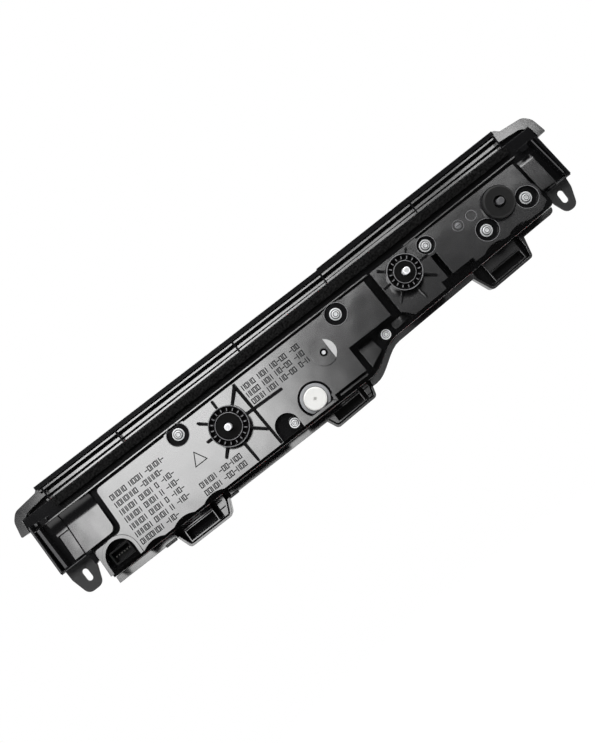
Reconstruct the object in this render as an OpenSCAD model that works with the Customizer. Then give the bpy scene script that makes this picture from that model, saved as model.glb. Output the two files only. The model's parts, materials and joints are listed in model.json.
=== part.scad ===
/* [Lamp outline] */
// Housing, from the left stud to its left end
reach_left = 204; // [200:0.5:212]
// Housing, from the left stud to its right end
reach_right = 381; // [376:0.5:392]
// Housing, from the left stud up to its top
reach_top = 47; // [46:0.5:52]
// Housing, from the left stud down to its lower edge
reach_bottom = 44.5; // [43.5:0.5:50]
// Inward lean of the left end at the top
lean_left = 1.8; // [0:0.1:4]
// Inward lean of the right end at the top
lean_right = 5; // [0:0.1:7]
// Width of the shallow box at the left end
end_box_left = 36; // [32:0.5:40]
// Width of the shallow box at the right end
end_box_right = 29; // [26:0.5:34]
// Left stud down to the bottom of the left end box
end_bottom_left = 12.6; // [11.5:0.1:16]
// Left stud down to the bottom of the right end box
end_bottom_right = 9; // [7.5:0.1:12]
// Left stud to the middle of the step in the lower edge
step_x = 146; // [140:1:152]
// Length of the step in the lower edge
step_run = 40; // [30:1:50]
// Rise of the step in the lower edge
step_rise = 16.2; // [12:0.1:17]
// Rise of the lower edge from the step to the right end
slope_rise = 6.4; // [0:0.1:8]
// Rear face of the pan, in front of the stud seals' face
pan_back = 36; // [32:0.5:42]
// Depth of the pan, to the face the lens is bonded to
pan_depth = 10; // [9:0.5:14]
// Plastic wall of the housing
wall = 2.5; // [2:0.1:3]
// Running clearance between pieces that slide together
fit_gap = 0.3; // [0.1:0.05:0.5]

/* [Rear plates] */
// Rear plates, in front of the stud seals' face at the left stud
plate_back = 13; // [11:0.5:16]
// Tilt of the rear plates, lower edge to the rear
plate_tilt = 12; // [8:0.5:13]
// Main plate, from the left stud to its left edge
plate_reach_left = 129.5; // [120:0.5:134]
// Main plate, from the left stud to its right edge
plate_reach_right = 171.5; // [166:0.5:176]
// Left stud up to the plates' top edge
plate_top = 28; // [25:0.5:29]
// Left stud down to the main plate's bottom edge
plate_drop = 40.5; // [38:0.5:42]
// Width of the notch at the main plate's right corner
notch_w = 47; // [40:0.5:50]
// Height of the notch at the main plate's right corner
notch_h = 30; // [26:0.5:32]
// Width of the small step beside the notch
notch_step_w = 35; // [28:0.5:38]
// Height of the small step beside the notch
notch_step_h = 5.3; // [3:0.1:6]
// Channel between the main and middle plates
channel_wide = 8.6; // [6:0.1:10]
// Channel between the middle and right plates
channel_narrow = 6.1; // [5:0.1:7]
// Width of the middle plate
mid_plate_w = 51; // [46:0.5:56]
// Rise of the middle plate over the others' top edge
mid_plate_rise = 2.4; // [0:0.1:3]
// Left stud down to the middle plate's bottom edge
mid_plate_drop = 22; // [20:0.5:23]
// Width of the right plate
right_plate_w = 104; // [98:0.5:106]
// Left stud down to the right plate's bottom edge
right_plate_drop = 19; // [17:0.5:20]
// Radius of the scallops in the plates' lower edges
scallop_r = 22; // [18:0.5:26]
// Depth of the scallops
scallop_depth = 3; // [1.5:0.1:3.6]
// Width of the cross grooves in the main plate
groove_w = 2.4; // [1.5:0.1:3.5]
// Depth of the cross grooves
groove_depth = 1.2; // [0.6:0.1:1.6]
// Height of the end panels over the pan
panel_h = 6; // [3:0.5:8]
// Radius of the cove over the left end panels
cove_r = 18; // [17:0.5:24]
// Radius of the right end panel's upper edge
panel_round = 9; // [6:0.5:12]
// Radius of the housing's lower right corner
low_corner_r = 4; // [2:0.5:6]

/* [Studs and rings] */
// Thread diameter of the mounting studs
stud_d = 6; // [5:0.5:8]
// Reach of the studs past their seals' face
stud_reach = 13; // [10:0.5:20]
// Reach of the right stud past its grommet
short_stud_reach = 6; // [4:0.5:12]
// How far the studs' shanks are thicker than their threads, on the radius
shank_extra = 0.4; // [0.2:0.1:0.8]
// Radius of the studs' heads, inside the housing
stud_head_r = 7; // [6:0.1:8]
// Thickness of the studs' heads
stud_head_t = 3; // [2:0.1:4]
// Middle stud, from its plate's left edge
mid_stud_in = 23; // [21:0.1:26]
// Middle stud, above the left stud
mid_stud_up = 12; // [10:0.1:13]
// Right stud, from its plate's left edge
right_stud_in = 69.6; // [66:0.1:73]
// Right stud, above the left stud
right_stud_up = 9.7; // [8:0.1:11]
// Outer radius of the left ring
ring_left_r = 18.3; // [17:0.1:19.5]
// Outer radius of the middle ring
ring_mid_r = 16.1; // [15:0.1:17]
// Walls of the rings
ring_wall = 1.2; // [1:0.1:1.5]
// Radial length of the rings' pockets
ring_pocket = 4.6; // [3.5:0.1:5]
// Depth of the rings' pockets
ring_pocket_depth = 8; // [5:0.5:10]
// Pockets round the left ring
ring_left_pockets = 18; // [12:1:20]
// Pockets round the middle ring
ring_mid_pockets = 16; // [12:1:18]
// Thickness of the stud seals
seal_t = 3; // [2:0.1:4]
// How far the stud seals stand proud of the rings
seal_proud = 0.8; // [0.4:0.1:1.2]
// Thickness of the ribs that brace the rings
rib_t = 2.4; // [1.6:0.1:2.8]
// Height of the ribs over the plates
rib_h = 2; // [1:0.5:4]
// Radius of the right stud's grommet
grommet_r = 14.6; // [13:0.1:15.5]
// Height of the grommet
grommet_h = 5; // [4:0.1:7]
// Radius of the hole in the grommet
grommet_hole_r = 5.3; // [4.8:0.1:6]

/* [Screws] */
// Flange radius of the large screws
screw_flange_r = 5.6; // [5:0.1:6.2]
// Flange radius of the small screws
small_flange_r = 4.6; // [4:0.1:5]
// Shank diameter of the screws
screw_d = 4; // [3.5:0.1:5]
// Length of the screws under their flanges
screw_length = 12; // [9:0.5:15]
// Depth of the screw wells
well_depth = 5.5; // [4:0.5:7]
// Radius of the screw wells
well_r = 10.3; // [8.5:0.1:11]
// Radius of the well that bridges the narrow channel
well_bridge_r = 8.4; // [7.5:0.1:9]

/* [Vent, locator and pockets] */
// Vent, from the left stud
vent_x = 74; // [68:0.5:78]
// Vent, below the left stud
vent_down = 27.5; // [25:0.1:29]
// Radius of the vent's well
vent_well_r = 15.6; // [15:0.1:17]
// Outer radius of the vent's collar
vent_collar_r = 13.6; // [12.5:0.1:14.2]
// Radius of the vent's cap
vent_cap_r = 10.5; // [9.5:0.1:11]
// Height of the vent's cap over the well's floor
vent_cap_h = 7; // [5:0.1:8]
// Locating pad, from the left stud
locator_x = 104.9; // [101:0.1:108]
// Radius of the locating pad
locator_r = 11.9; // [10:0.1:13]
// Height of the locating pad over the plate
locator_h = 1.2; // [0.8:0.1:2]
// Radius of the locating hole
locator_hole_r = 3.5; // [3:0.1:4]
// Depth of the locating hole
locator_depth = 10; // [7:0.5:12]
// Connector pocket, from the left stud
pocket_x = 143.2; // [141:0.1:146]
// Connector pocket's arch centre, below the left stud
pocket_down = 31.5; // [30:0.1:33]
// Inner radius of the connector pocket's arch
pocket_r = 14.5; // [13.5:0.1:15]
// Width of the pocket's raised rim
pocket_rim = 3.1; // [2.5:0.1:3.5]
// Height of the pocket's raised rim
pocket_rim_h = 1.5; // [1:0.1:3]
// Depth of the connector pocket
pocket_depth = 19; // [15:0.5:21]
// Small screw's pocket, from the left stud
small_pocket_x = 40.4; // [38:0.1:43]
// Radius of the small screw's pocket
small_pocket_r = 11.3; // [10:0.1:12]
// Depth of the small screw's pocket
small_pocket_depth = 9; // [6:0.5:12]

/* [Bezel] */
// Height of the bezel over the housing
bezel_h = 17.4; // [16:0.1:20]
// Drop of the bezel's top from each end to its joint
bezel_drop = 2.4; // [0:0.1:3]
// Thickness of the bezel's top wall
bezel_top_t = 4; // [3:0.1:4.5]
// Skin of the bezel
bezel_t = 2.5; // [2:0.1:3]
// Reach of the bezel's top wall behind the pan
bezel_reach = 5; // [3:0.5:8]
// Depth of the bezel in front of the pan's rear face
bezel_depth = 26; // [22:0.5:27.5]
// Depth of the bezel's ledges
ledge_depth = 4; // [2:0.1:5]
// Thickness of the bezel's cross ribs
bezel_rib_t = 1.6; // [1.2:0.1:2]
// Width of the bezel's end caps
cap_w = 9.6; // [9:0.1:11]
// Height of the end caps over the housing
cap_h = 10.5; // [9.5:0.1:12]
// Length of the end caps down the housing's ends
cap_drop = 12.4; // [10:0.1:16]
// Width of the lip round the end caps
cap_lip = 7.6; // [5:0.1:8.5]

/* [Lower cover] */
// Height of the cover's lip at the left
lip_left = 6.4; // [5.5:0.1:8]
// Height of the cover's lip at the right
lip_right = 5.2; // [4.5:0.1:6.5]
// Depth of the cover
cover_depth = 20; // [16:0.5:22]
// Reach of the cover behind the pan, at the left
cover_proud = 6; // [3:0.5:8]
// Drop of the left guard loop under the lip
loop_drop_left = 13.8; // [12.5:0.1:16]
// Drop of the middle guard loop under the lip
loop_drop_mid = 10.5; // [10:0.1:13]
// Drop of the right guard loop under the lip
loop_drop_right = 18.4; // [18:0.1:21]
// Rim of the guard loops
loop_wall = 2.2; // [1.8:0.1:2.6]
// Width of the groove inside the loops' rim
loop_groove = 1; // [0.6:0.1:1.2]

/* [Ears] */
// Thickness of the end ears
ear_t = 3; // [2.5:0.1:4]
// Reach of the ears below the end boxes
ear_drop = 30; // [28:0.5:31]
// Width of the slots in the ears
slot_w = 6.2; // [5.5:0.1:7]
// Length of the slots in the ears
slot_l = 12.4; // [11:0.1:14]

/* [Foam seal] */
// Height of the foam strip
foam_h = 8.8; // [7:0.1:9.5]
// Thickness of the foam strip
foam_t = 8; // [5:0.5:10]

/* [Lens] */
// Wall of the lens
lens_wall = 2.6; // [2:0.1:3]
// Depth of the lens body
lens_depth = 18; // [17:0.5:22]
// Depth of the light bar in front of the lens body
bar_depth = 9; // [6:0.5:12]
// Height of the light bar
bar_h = 26; // [20:0.5:28]
// Radius of the lens's front edge
lens_edge_r = 6; // [4:0.1:6.5]
// Radius of the lens at its ends
lens_end_r = 14; // [8:0.5:16]
// Thickness of the sealing bead under the lens
bead_t = 1.2; // [0.8:0.1:2]
// Width of the clear reversing window
reverse_w = 96; // [80:1:104]
// Height of the clear reversing window
reverse_h = 20; // [16:0.5:21]

/* [Inside] */
// Thickness of the circuit boards
board_t = 1.6; // [1.2:0.1:2]
// Thickness of the inner bracket
bracket_t = 2; // [1.6:0.1:2.5]
// Plates of the inner lenses
inner_lens_t = 2.6; // [2:0.1:3]
// Pitch of the flutes on the inner lenses
flute_pitch = 12; // [9:0.5:16]
// Side of an LED package
led_side = 3.5; // [3:0.1:4]
// Height of an LED package
led_h = 1.2; // [0.8:0.1:1.6]
// Height of the heat sink's fins
fin_h = 9; // [6:0.5:11]
// Number of the heat sink's fins
fin_count = 12; // [6:1:16]

/* [Hidden] */
$fn = 48;

// Sides of round corners in outlines
corner_sides = 5;
// Larger than the lamp, for cutting tools
far = 1000;

// Places along X
left_x = -reach_left;
right_x = reach_right;
deep_left_x = left_x + end_box_left;
deep_right_x = right_x - end_box_right;
step_start = step_x - step_run / 2;
step_end = step_x + step_run / 2;
main_left = -plate_reach_left;
main_right = plate_reach_right;
mid_left = main_right + channel_wide;
mid_right = mid_left + mid_plate_w;
right_left = mid_right + channel_narrow;
right_right = right_left + right_plate_w;
notch_x = main_right - notch_w;
mid_stud_x = mid_left + mid_stud_in;
right_stud_x = right_left + right_stud_in;

// Places along Z
mid_top = plate_top + mid_plate_rise;
notch_z = -plate_drop + notch_h;
pan_bottom_z = -reach_bottom;
right_bottom_z = -right_plate_drop;
mid_bottom_z = -mid_plate_drop;

// Places along Y, from the stud seals' face towards the lens
floor_y = pan_back + wall;
flange_y = pan_back + pan_depth;
lens_rear = flange_y + bead_t;
lens_front = lens_rear + lens_depth;
bar_front = lens_front + bar_depth;
bracket_y = floor_y + 2;
board_y = bracket_y + bracket_t;
led_y = board_y + board_t;
inner_lens_y = led_y + led_h + 6;
bezel_front = pan_back + bezel_depth;

function unit(v) = v / norm(v);
function smooth(t) = let (c = min(max(t, 0), 1)) c * c * (3 - 2 * c);
function ramp(t) = min(max(t, 0), 1);

// Lower edge of the housing at a place along X
function lower_z(x) = pan_bottom_z + step_rise * smooth((x - step_start) / step_run)
    + slope_rise * ramp((x - step_end) / (deep_right_x - step_end));
// Lip of the lower cover at a place along X
function lip_h(x) = lip_left + (lip_right - lip_left) * smooth((x - step_start) / step_run);
// Rear face of the tilted plates at a height
function plate_y(z) = plate_back + tan(plate_tilt) * z;

// Outline moved inwards by d, for points that run anticlockwise
function inset(p, d) = let (n = len(p)) [for (i = [0:n - 1])
    let (
        u = unit(p[i] - p[(i + n - 1) % n]),
        v = unit(p[(i + 1) % n] - p[i]),
        a = [-u[1], u[0]],
        b = [-v[1], v[0]]
    )
    p[i] + d * (a + b) / (1 + a * b)];

// Round corner of radius r at b, coming from a and going on to c
function corner(a, b, c, r) = let (
        u = unit(a - b),
        v = unit(c - b),
        half = acos(u * v) / 2,
        reach = min(r / tan(half), 0.49 * norm(a - b), 0.49 * norm(c - b)),
        radius = reach * tan(half),
        m = b + unit(u + v) * radius / sin(half),
        s = b + u * reach - m,
        turn = (180 - 2 * half) * (u[0] * v[1] - u[1] * v[0] > 0 ? -1 : 1)
    )
    r < 0.01 || half > 89 ? [b] : [for (k = [0:corner_sides])
        let (t = turn * k / corner_sides)
        m + [s[0] * cos(t) - s[1] * sin(t), s[0] * sin(t) + s[1] * cos(t)]];

// Outline with each corner rounded by its own radius
function rounded(p, r) = let (n = len(p)) [for (i = [0:n - 1])
    each corner(p[(i + n - 1) % n], p[i], p[(i + 1) % n], is_list(r) ? r[i] : r)];

// Points from x0 to x1, both kept, for a curve that follows the lower edge
function stations(x0, x1) = [
    x0,
    for (k = [0:8]) let (x = step_start + step_run * k / 8) if (x > x0 + 1 && x < x1 - 1) x,
    x1];

// Outline of the housing, anticlockwise from the deep part's lower left corner
function pan_outline() = [
    for (x = stations(deep_left_x, step_end)) [x, lower_z(x)],
    each corner([step_end, lower_z(step_end)], [deep_right_x, lower_z(deep_right_x)],
        [deep_right_x, -end_bottom_right], low_corner_r),
    [deep_right_x, -end_bottom_right],
    [right_x, -end_bottom_right],
    [right_x - lean_right, reach_top],
    [left_x + lean_left, reach_top],
    [left_x, -end_bottom_left],
    [deep_left_x, -end_bottom_left]];

// Scallops cut upwards into a lower edge, as points going right along it
scallop_half = sqrt(2 * scallop_r * scallop_depth - scallop_depth * scallop_depth);
function scallop(x, z) = let (m = z + scallop_depth - scallop_r, a = asin(scallop_half / scallop_r))
    [for (k = [0:6]) let (t = 90 + a - 2 * a * k / 6) [x + scallop_r * cos(t), m + scallop_r * sin(t)]];
scallop_pitch = 2 * scallop_half + 10.8;

function main_outline() = let (z = -plate_drop, foot = -pocket_x - pocket_r - pocket_rim - 1) [
    [foot, z],
    for (k = [0:2]) each scallop(-pocket_x + pocket_r + 15 + k * scallop_pitch, z),
    [notch_x - notch_step_w, z],
    [notch_x - notch_step_w, z + notch_step_h],
    [notch_x, z + notch_step_h],
    [notch_x, notch_z],
    [main_right, notch_z],
    [main_right, plate_top],
    each corner([main_right, plate_top], [main_left, plate_top], [main_left, 0], 4),
    each corner([main_left, 0], [main_left, -14.5], [foot, -14.5], 9),
    each corner([main_left - 9, -14.5], [foot, -14.5], [foot, z], 3)];

function mid_outline() = [
    [mid_left + 8.8, mid_bottom_z - 0.8],
    [mid_right - channel_narrow - 1, mid_bottom_z],
    [mid_right - channel_narrow - 1, mid_bottom_z + 7],
    [mid_right, mid_bottom_z + 7],
    [mid_right, mid_top],
    [mid_left, mid_top],
    [mid_left, mid_bottom_z + 9]];

function right_outline() = let (z = right_bottom_z, foot = right_left + 22) [
    [right_left, z + 4.2],
    [foot, z + 4.2],
    [foot, z],
    for (k = [0:1]) each scallop(foot + 21 + k * (scallop_pitch - 6), z),
    [right_right - 8, z],
    [right_right, z + 4.2],
    [right_right - 1.8, plate_top + 1],
    [right_left, plate_top + 1]];

// Thin rib under the foam strip, and the tops of the end panels under it
rib_z = reach_top - 15.4;
panel_top = rib_z - 15.5;
// Plates over the shallow end boxes
panel_x = left_x + 30.6;
panel_low = -end_bottom_left + 2.4;
panel_w = 34.4;
cove_top = rib_z - 0.6;
left_panel_far = [[left_x + 19.8, panel_low], [panel_x - 0.8, panel_low], [panel_x - 0.4, panel_top - 1.2],
    [left_x + 19.8, panel_top - 1.2]];
left_panel_upper = [[left_x + 18.2, panel_top - 0.4], [panel_x - 0.3, panel_top - 0.4], [panel_x, cove_top],
    [left_x + 17.8, cove_top]];
left_panel_near = [
    [panel_x + 0.4, panel_low - 0.6],
    each corner([panel_x, panel_low - 0.6], [panel_x + panel_w, panel_low - 0.6], [panel_x + panel_w,
        panel_top], 6),
    [panel_x + panel_w, cove_top],
    [panel_x + 1.2, cove_top]];
right_panel = [[right_x - 32.8, -end_bottom_right + 3.2], [right_x - 18.1, -end_bottom_right + 2],
    [right_x - 19.3, reach_top - 18.6], [right_x - 33.7, reach_top - 18.6]];
// Low pads in the notch, beside the small screw's post
notch_pad = [[notch_x + 7.4, notch_z - 26.7], [notch_x + 23.5, notch_z - 19.5],
    [notch_x + 21.7, notch_z - 6.3], [notch_x + 6.9, notch_z - 6.5]];
notch_sill = [[main_right - 2, notch_z - 13.1], [mid_left + 5.4, notch_z - 12.1],
    [mid_left + 1.6, notch_z - 6], [main_right - 3.5, notch_z - 6.3]];

// Screws, each with its well's radius: large flanges, then small ones
large_screws = [
    [-41.7, 21.7, well_r],
    [main_right - 37.3, 20.3, well_r],
    [mid_right + channel_narrow / 2 + 0.3, 19.4, well_bridge_r],
    [right_left + 47.6, -3.3, well_r],
    [right_right - 11.3, -1.8, well_r]];
small_screw_pocket = [small_pocket_x + 6.3, -33.1];
small_screw_post = [main_right - 12.6, -21.4];
post_y = pan_back - 10;
function well_floor(z) = plate_y(z) + well_depth;

// Block from one depth to another, from an outline in X and Z
module slab(y_rear, y_front) {
    translate([0, y_front, 0]) rotate([90, 0, 0]) linear_extrude(y_front - y_rear) children();
}

// Round rod along Y
module rod(x, z, r, y_rear, y_front) {
    translate([x, y_front, z]) rotate([90, 0, 0]) cylinder(r = r, h = y_front - y_rear);
}

// Round rod along Y that tapers
module cone(x, z, r_rear, r_front, y_rear, y_front) {
    translate([x, y_front, z]) rotate([90, 0, 0]) cylinder(r1 = r_front, r2 = r_rear, h = y_front - y_rear);
}

// Everything in front of the plates' tilted plane, moved towards the lens by d
module in_front(d = 0) {
    translate([0, plate_back, 0]) rotate([-plate_tilt, 0, 0]) translate([-far / 2, d, -far / 2])
        cube([far, far, far]);
}

// Raised plate with a tilted rear face: its outside, or its hollow where d is a wall
module bulge(outline, d = 0, lift = 0) {
    intersection() {
        slab(-20, floor_y + (d > 0 ? 0.01 : -wall / 2)) polygon(inset(outline, d));
        in_front(lift + d);
    }
}

module plates(d) {
    bulge(main_outline(), d);
    bulge(mid_outline(), d);
    bulge(right_outline(), d);
}

// Side view of an end panel, in Y and Z: the leaning face, then an arc of radius r from the height z
// to the top, rolled over where r is positive and out to the rib where it's negative
function panel_profile(z, top, sink, r, d) = let (
        low = z - 80,
        floor = floor_y + (d > 0 ? 0.01 : -wall / 2),
        y = plate_y(z) + sink / cos(plate_tilt) + r * cos(plate_tilt),
        mid = z - r * sin(plate_tilt),
        end = asin((top - d - mid) / (r - d)))
    [[floor, low], [plate_y(low) + (sink + d) / cos(plate_tilt), low],
        for (k = [0:arc_sides]) let (a = plate_tilt + (end - plate_tilt) * k / arc_sides)
            [y - (r - d) * cos(a), mid + (r - d) * sin(a)],
        [floor, top - d]];
arc_sides = 12;

module end_panel(outline, z, top, sink, r, d) {
    intersection() {
        slab(-20, floor_y + (d > 0 ? 0.01 : -wall / 2)) polygon(inset(outline, d));
        rotate([90, 0, 90]) translate([0, 0, -far / 2]) linear_extrude(far)
            polygon(panel_profile(z, top, sink, r, d));
    }
}

// Plates over the end boxes and in the notch stand lower than the main ones
panel_sink = pan_back - panel_h - plate_back;
roll_top = right_panel[2][1];
module end_panels(d) {
    for (p = [left_panel_near, left_panel_upper]) end_panel(p, panel_top, cove_top, panel_sink, -cove_r, d);
    bulge(left_panel_far, d, panel_sink + 0.8);
    end_panel(right_panel, roll_top - 0.7 * panel_round, roll_top, panel_sink - 2, panel_round, d);
    for (p = [notch_pad, notch_sill]) bulge(p, d, panel_sink + 5);
}

// Tower that carries a stud: ring of cored pockets around the seal's recess
module tower(x, z, r) {
    rod(x, z, r, seal_proud, plate_y(z) + wall);
    rod(x, z, stud_head_r + 2, seal_t - 1, stud_seat(z));
}
function stud_seat(z) = plate_y(z + stud_head_r + 2) + wall + 0.6;

module tower_cuts(x, z, r, count) {
    seal_r = r - 2 * ring_wall - ring_pocket;
    rod(x, z, seal_r, -1, seal_t);
    rod(x, z, shank_r + fit_gap / 2, -1, far / 4);
    mid_r = r - ring_wall - ring_pocket / 2;
    web = 1.3;
    for (k = [0:count - 1]) {
        a = (k + 0.5) * 360 / count;
        half = 180 / count;
        inner = mid_r - ring_pocket / 2;
        outer = mid_r + ring_pocket / 2;
        ia = half - asin(web / 2 / inner);
        oa = half - asin(web / 2 / outer);
        slab(-1, seal_proud + ring_pocket_depth) polygon([
            for (t = [-1, 0, 1]) [x + outer * cos(a + t * oa), z + outer * sin(a + t * oa)],
            for (t = [1, 0, -1]) [x + inner * cos(a + t * ia), z + inner * sin(a + t * ia)]]);
    }
}

// Brace rib with a flat top and a round end, from a tower's centre to a point on its plate
module brace(x, z, to_x, to_z, t, r) {
    run = norm([to_x - x, to_z - z]);
    a = atan2(to_z - z, to_x - x);
    level = plate_y(min(to_z, z + (to_z - z) * r / run)) - rib_h;
    root = plate_y(plate_top) + wall;
    slab(level, root) translate([x, z]) rotate(a) polygon([
        [0, -t / 2],
        for (k = [-3:3]) [run + t / 2 * cos(30 * k), t / 2 * sin(30 * k)],
        [0, t / 2]]);
}

module braces(x, z, ends, t, r) {
    difference() {
        for (e = ends) brace(x, z, e[0], e[1], t, r);
        rod(x, z, r - ring_wall / 2, -30, far / 4);
        in_front(wall / 2);
    }
}

groove_x = 24.4;
left_braces = [[55.4, -2.2], [groove_x, plate_top - 2.4], [0, plate_top - 2], [-21.3, 18.6], [-24, 0.5],
    [-19, -20.2], [2.2, -plate_drop + 2], [groove_x + 0.6, -22.5]];
mid_braces = [[mid_left + 1.5, mid_stud_up - 0.5], [mid_left + 5.8, mid_bottom_z + 15],
    [mid_stud_x + 3, mid_bottom_z + 5.7], [mid_right - 6, mid_bottom_z + 15], [mid_right - 1.6,
        mid_stud_up],
    [mid_left + 6.2, mid_top - 2.4], [mid_right - 12, mid_top - 1.8]];

// Arch of a pocket: round at the top, open at the plate's lower edge
module arch(x, down, r, y_rear, y_front, foot) {
    intersection() {
        rod(x, -down, r, y_rear, y_front);
        slab(y_rear, y_front) polygon([[x - far, -foot], [x + far, -foot], [x + far, far], [x - far, far]]);
    }
    slab(y_rear, y_front) polygon([[x - r, -foot], [x + r, -foot], [x + r, -down], [x - r, -down]]);
}
pocket_floor = plate_y(-pocket_down) + pocket_depth;
small_pocket_floor = plate_y(-pocket_down) + small_pocket_depth;

// Thin wall along a line in X and Z
module fence(a, b, t, y_rear, y_front) {
    n = t / 2 * [-unit(b - a)[1], unit(b - a)[0]];
    slab(y_rear, y_front) polygon([a - n, b - n, b + n, a + n]);
}

module housing_walls() {
    difference() {
        union() {
            slab(pan_back, flange_y) polygon(pan_outline());
            plates(0);
            end_panels(0);
        }
        slab(floor_y, flange_y + 1) polygon(inset(pan_outline(), wall));
        plates(wall);
        end_panels(wall);
    }
}

// Tubes inside the plates that line the wells and pockets
module housing_liners() {
    intersection() {
        union() {
            intersection() {
                for (s = large_screws) rod(s[0], s[1], s[2] + wall, 0, well_floor(s[1]) + wall);
                translate([-far / 2, 0, plate_top + 1 - far]) cube([far, far, far]);
            }
            intersection() {
                rod(vent_x, -vent_down, vent_well_r + wall, 0, well_floor(-vent_down) + wall);
                slab(0, floor_y) polygon(main_outline());
            }
            intersection() {
                arch(pocket_x * -1, pocket_down, pocket_r + wall, 0, pocket_floor + wall, plate_drop);
                slab(0, floor_y) polygon(main_outline());
            }
            arch(small_pocket_x, pocket_down, small_pocket_r + wall, 0, small_pocket_floor + wall,
                plate_drop);
            rod(locator_x, 0, locator_hole_r + wall, 0, plate_y(0) + locator_depth + wall);
        }
        in_front(0);
    }
}

module housing_raised() {
    tower(0, 0, ring_left_r);
    tower(mid_stud_x, mid_stud_up, ring_mid_r);
    braces(0, 0, left_braces, rib_t, ring_left_r);
    braces(mid_stud_x, mid_stud_up, mid_braces, rib_t * 0.7, ring_mid_r);
    locating_pad();
    rod(right_stud_x, right_stud_up, grommet_r + 1, grommet_seat, plate_y(right_stud_up) + 3);
    rod(right_stud_x, right_stud_up, stud_head_r + 2, grommet_seat + 1, stud_seat(right_stud_up));
    difference() {
        intersection() {
            arch(-pocket_x, pocket_down, pocket_r + pocket_rim, -20, pan_back, plate_drop);
            in_front(-pocket_rim_h);
        }
        in_front(wall / 2);
    }
    rod(small_screw_post[0], small_screw_post[1], small_flange_r + 1.5, post_y, floor_y);
    bridge = large_screws[2];
    rod(bridge[0], bridge[1], boss_r + fit_gap + wall, well_floor(bridge[1]) + 1, floor_y);
    foam_rib();
    vent_ledge();
    end_rails();
}
grommet_seat = plate_y(right_stud_up - grommet_r - 1) - 0.5;
foam_y = pan_back - foam_t;

// Thin rib under the foam strip, its rear edge leaning like the plates
module foam_rib() {
    intersection() {
        union() {
            fence([left_x + 18, rib_z + 0.4], [mid_left - 2, rib_z - 0.4], 1.2, foam_y, pan_back + 0.5);
            fence([mid_right - channel_narrow - 5, rib_z], [deep_right_x - 4, rib_z + 1.8], 1.2, foam_y,
                pan_back + 0.5);
        }
        leaning(foam_y + 0.3, rib_z);
    }
}

// Leaning ledge under the main plate, beside the notch
module vent_ledge() {
    z = 1.8 - plate_drop;
    intersection() {
        fence([notch_x - notch_step_w + 4, z], [notch_x - 0.5, z], 2, 0, pan_back + 0.5);
        leaning(plate_y(z) + 8, z);
    }
}

// Pad round the locating hole, with one side facing another way
module locating_pad() {
    split = locator_r * 0.48;
    difference() {
        intersection() {
            rod(locator_x, 0, locator_r, 0, plate_y(0) + wall);
            in_front(-locator_h);
        }
        translate([locator_x + split, plate_back, 0]) rotate([-plate_tilt, 0, 0])
            translate([0, locator_h * -0.3, 0]) rotate([0, 0, -7]) translate([0, -20, -20]) cube([20, 20,
                40]);
    }
}

// Rails and small blocks on the end boxes
rail_y = pan_back - 13;
module end_rails() {
    back = pan_back + 0.5;
    foot_left = -end_bottom_left;
    foot_right = -end_bottom_right;
    fence([left_x + 4.4, foot_left], [left_x + 4.4 + lean_left, reach_top - 8.5], 2.2, rail_y, back);
    fence([left_x + 10.8, foot_left + 1], [left_x + 11.2, reach_top - 15], 3.2, rail_y, back);
    fence([left_x + 5, reach_top - 15.6], [left_x + 12, reach_top - 15.6], 1, rail_y + 1, back);
    fence([left_x + 11.8, reach_top - 12.4], [left_x + 12, reach_top - 9.4], 3, rail_y + 3, back);
    fence([left_x + 15, reach_top - 12.8], [left_x + 22, reach_top - 12.8], 4.4, rail_y + 5, back);
    fence([left_x + 3.4, foot_left], [deep_left_x + 1, foot_left], 2, rail_y + 1, back);
    slab(rail_y + 4, pan_back + 2.7) polygon([
        [deep_left_x - 3.6, foot_left - 12.5], [deep_left_x + 0.5, foot_left - 11],
        [deep_left_x + 0.5, foot_left + 1], [deep_left_x - 3.6, foot_left + 1]]);
    fence([right_x - 5.3, foot_right], [right_x - 5.3 - lean_right * 0.8, reach_top - 11], 2.6,
        rail_y + 2, back);
    fence([right_x - 8.9, foot_right + 2.4], [right_x - 14.4, reach_top - 10], 1.6, rail_y, back);
    fence([right_x - 26, reach_top - 12.5], [right_x - 18, reach_top - 12.5], 4.4, rail_y + 5, back);
    fence([deep_right_x + 2, foot_right], [right_x - 4, foot_right], 2, rail_y + 3, back);
}

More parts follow.
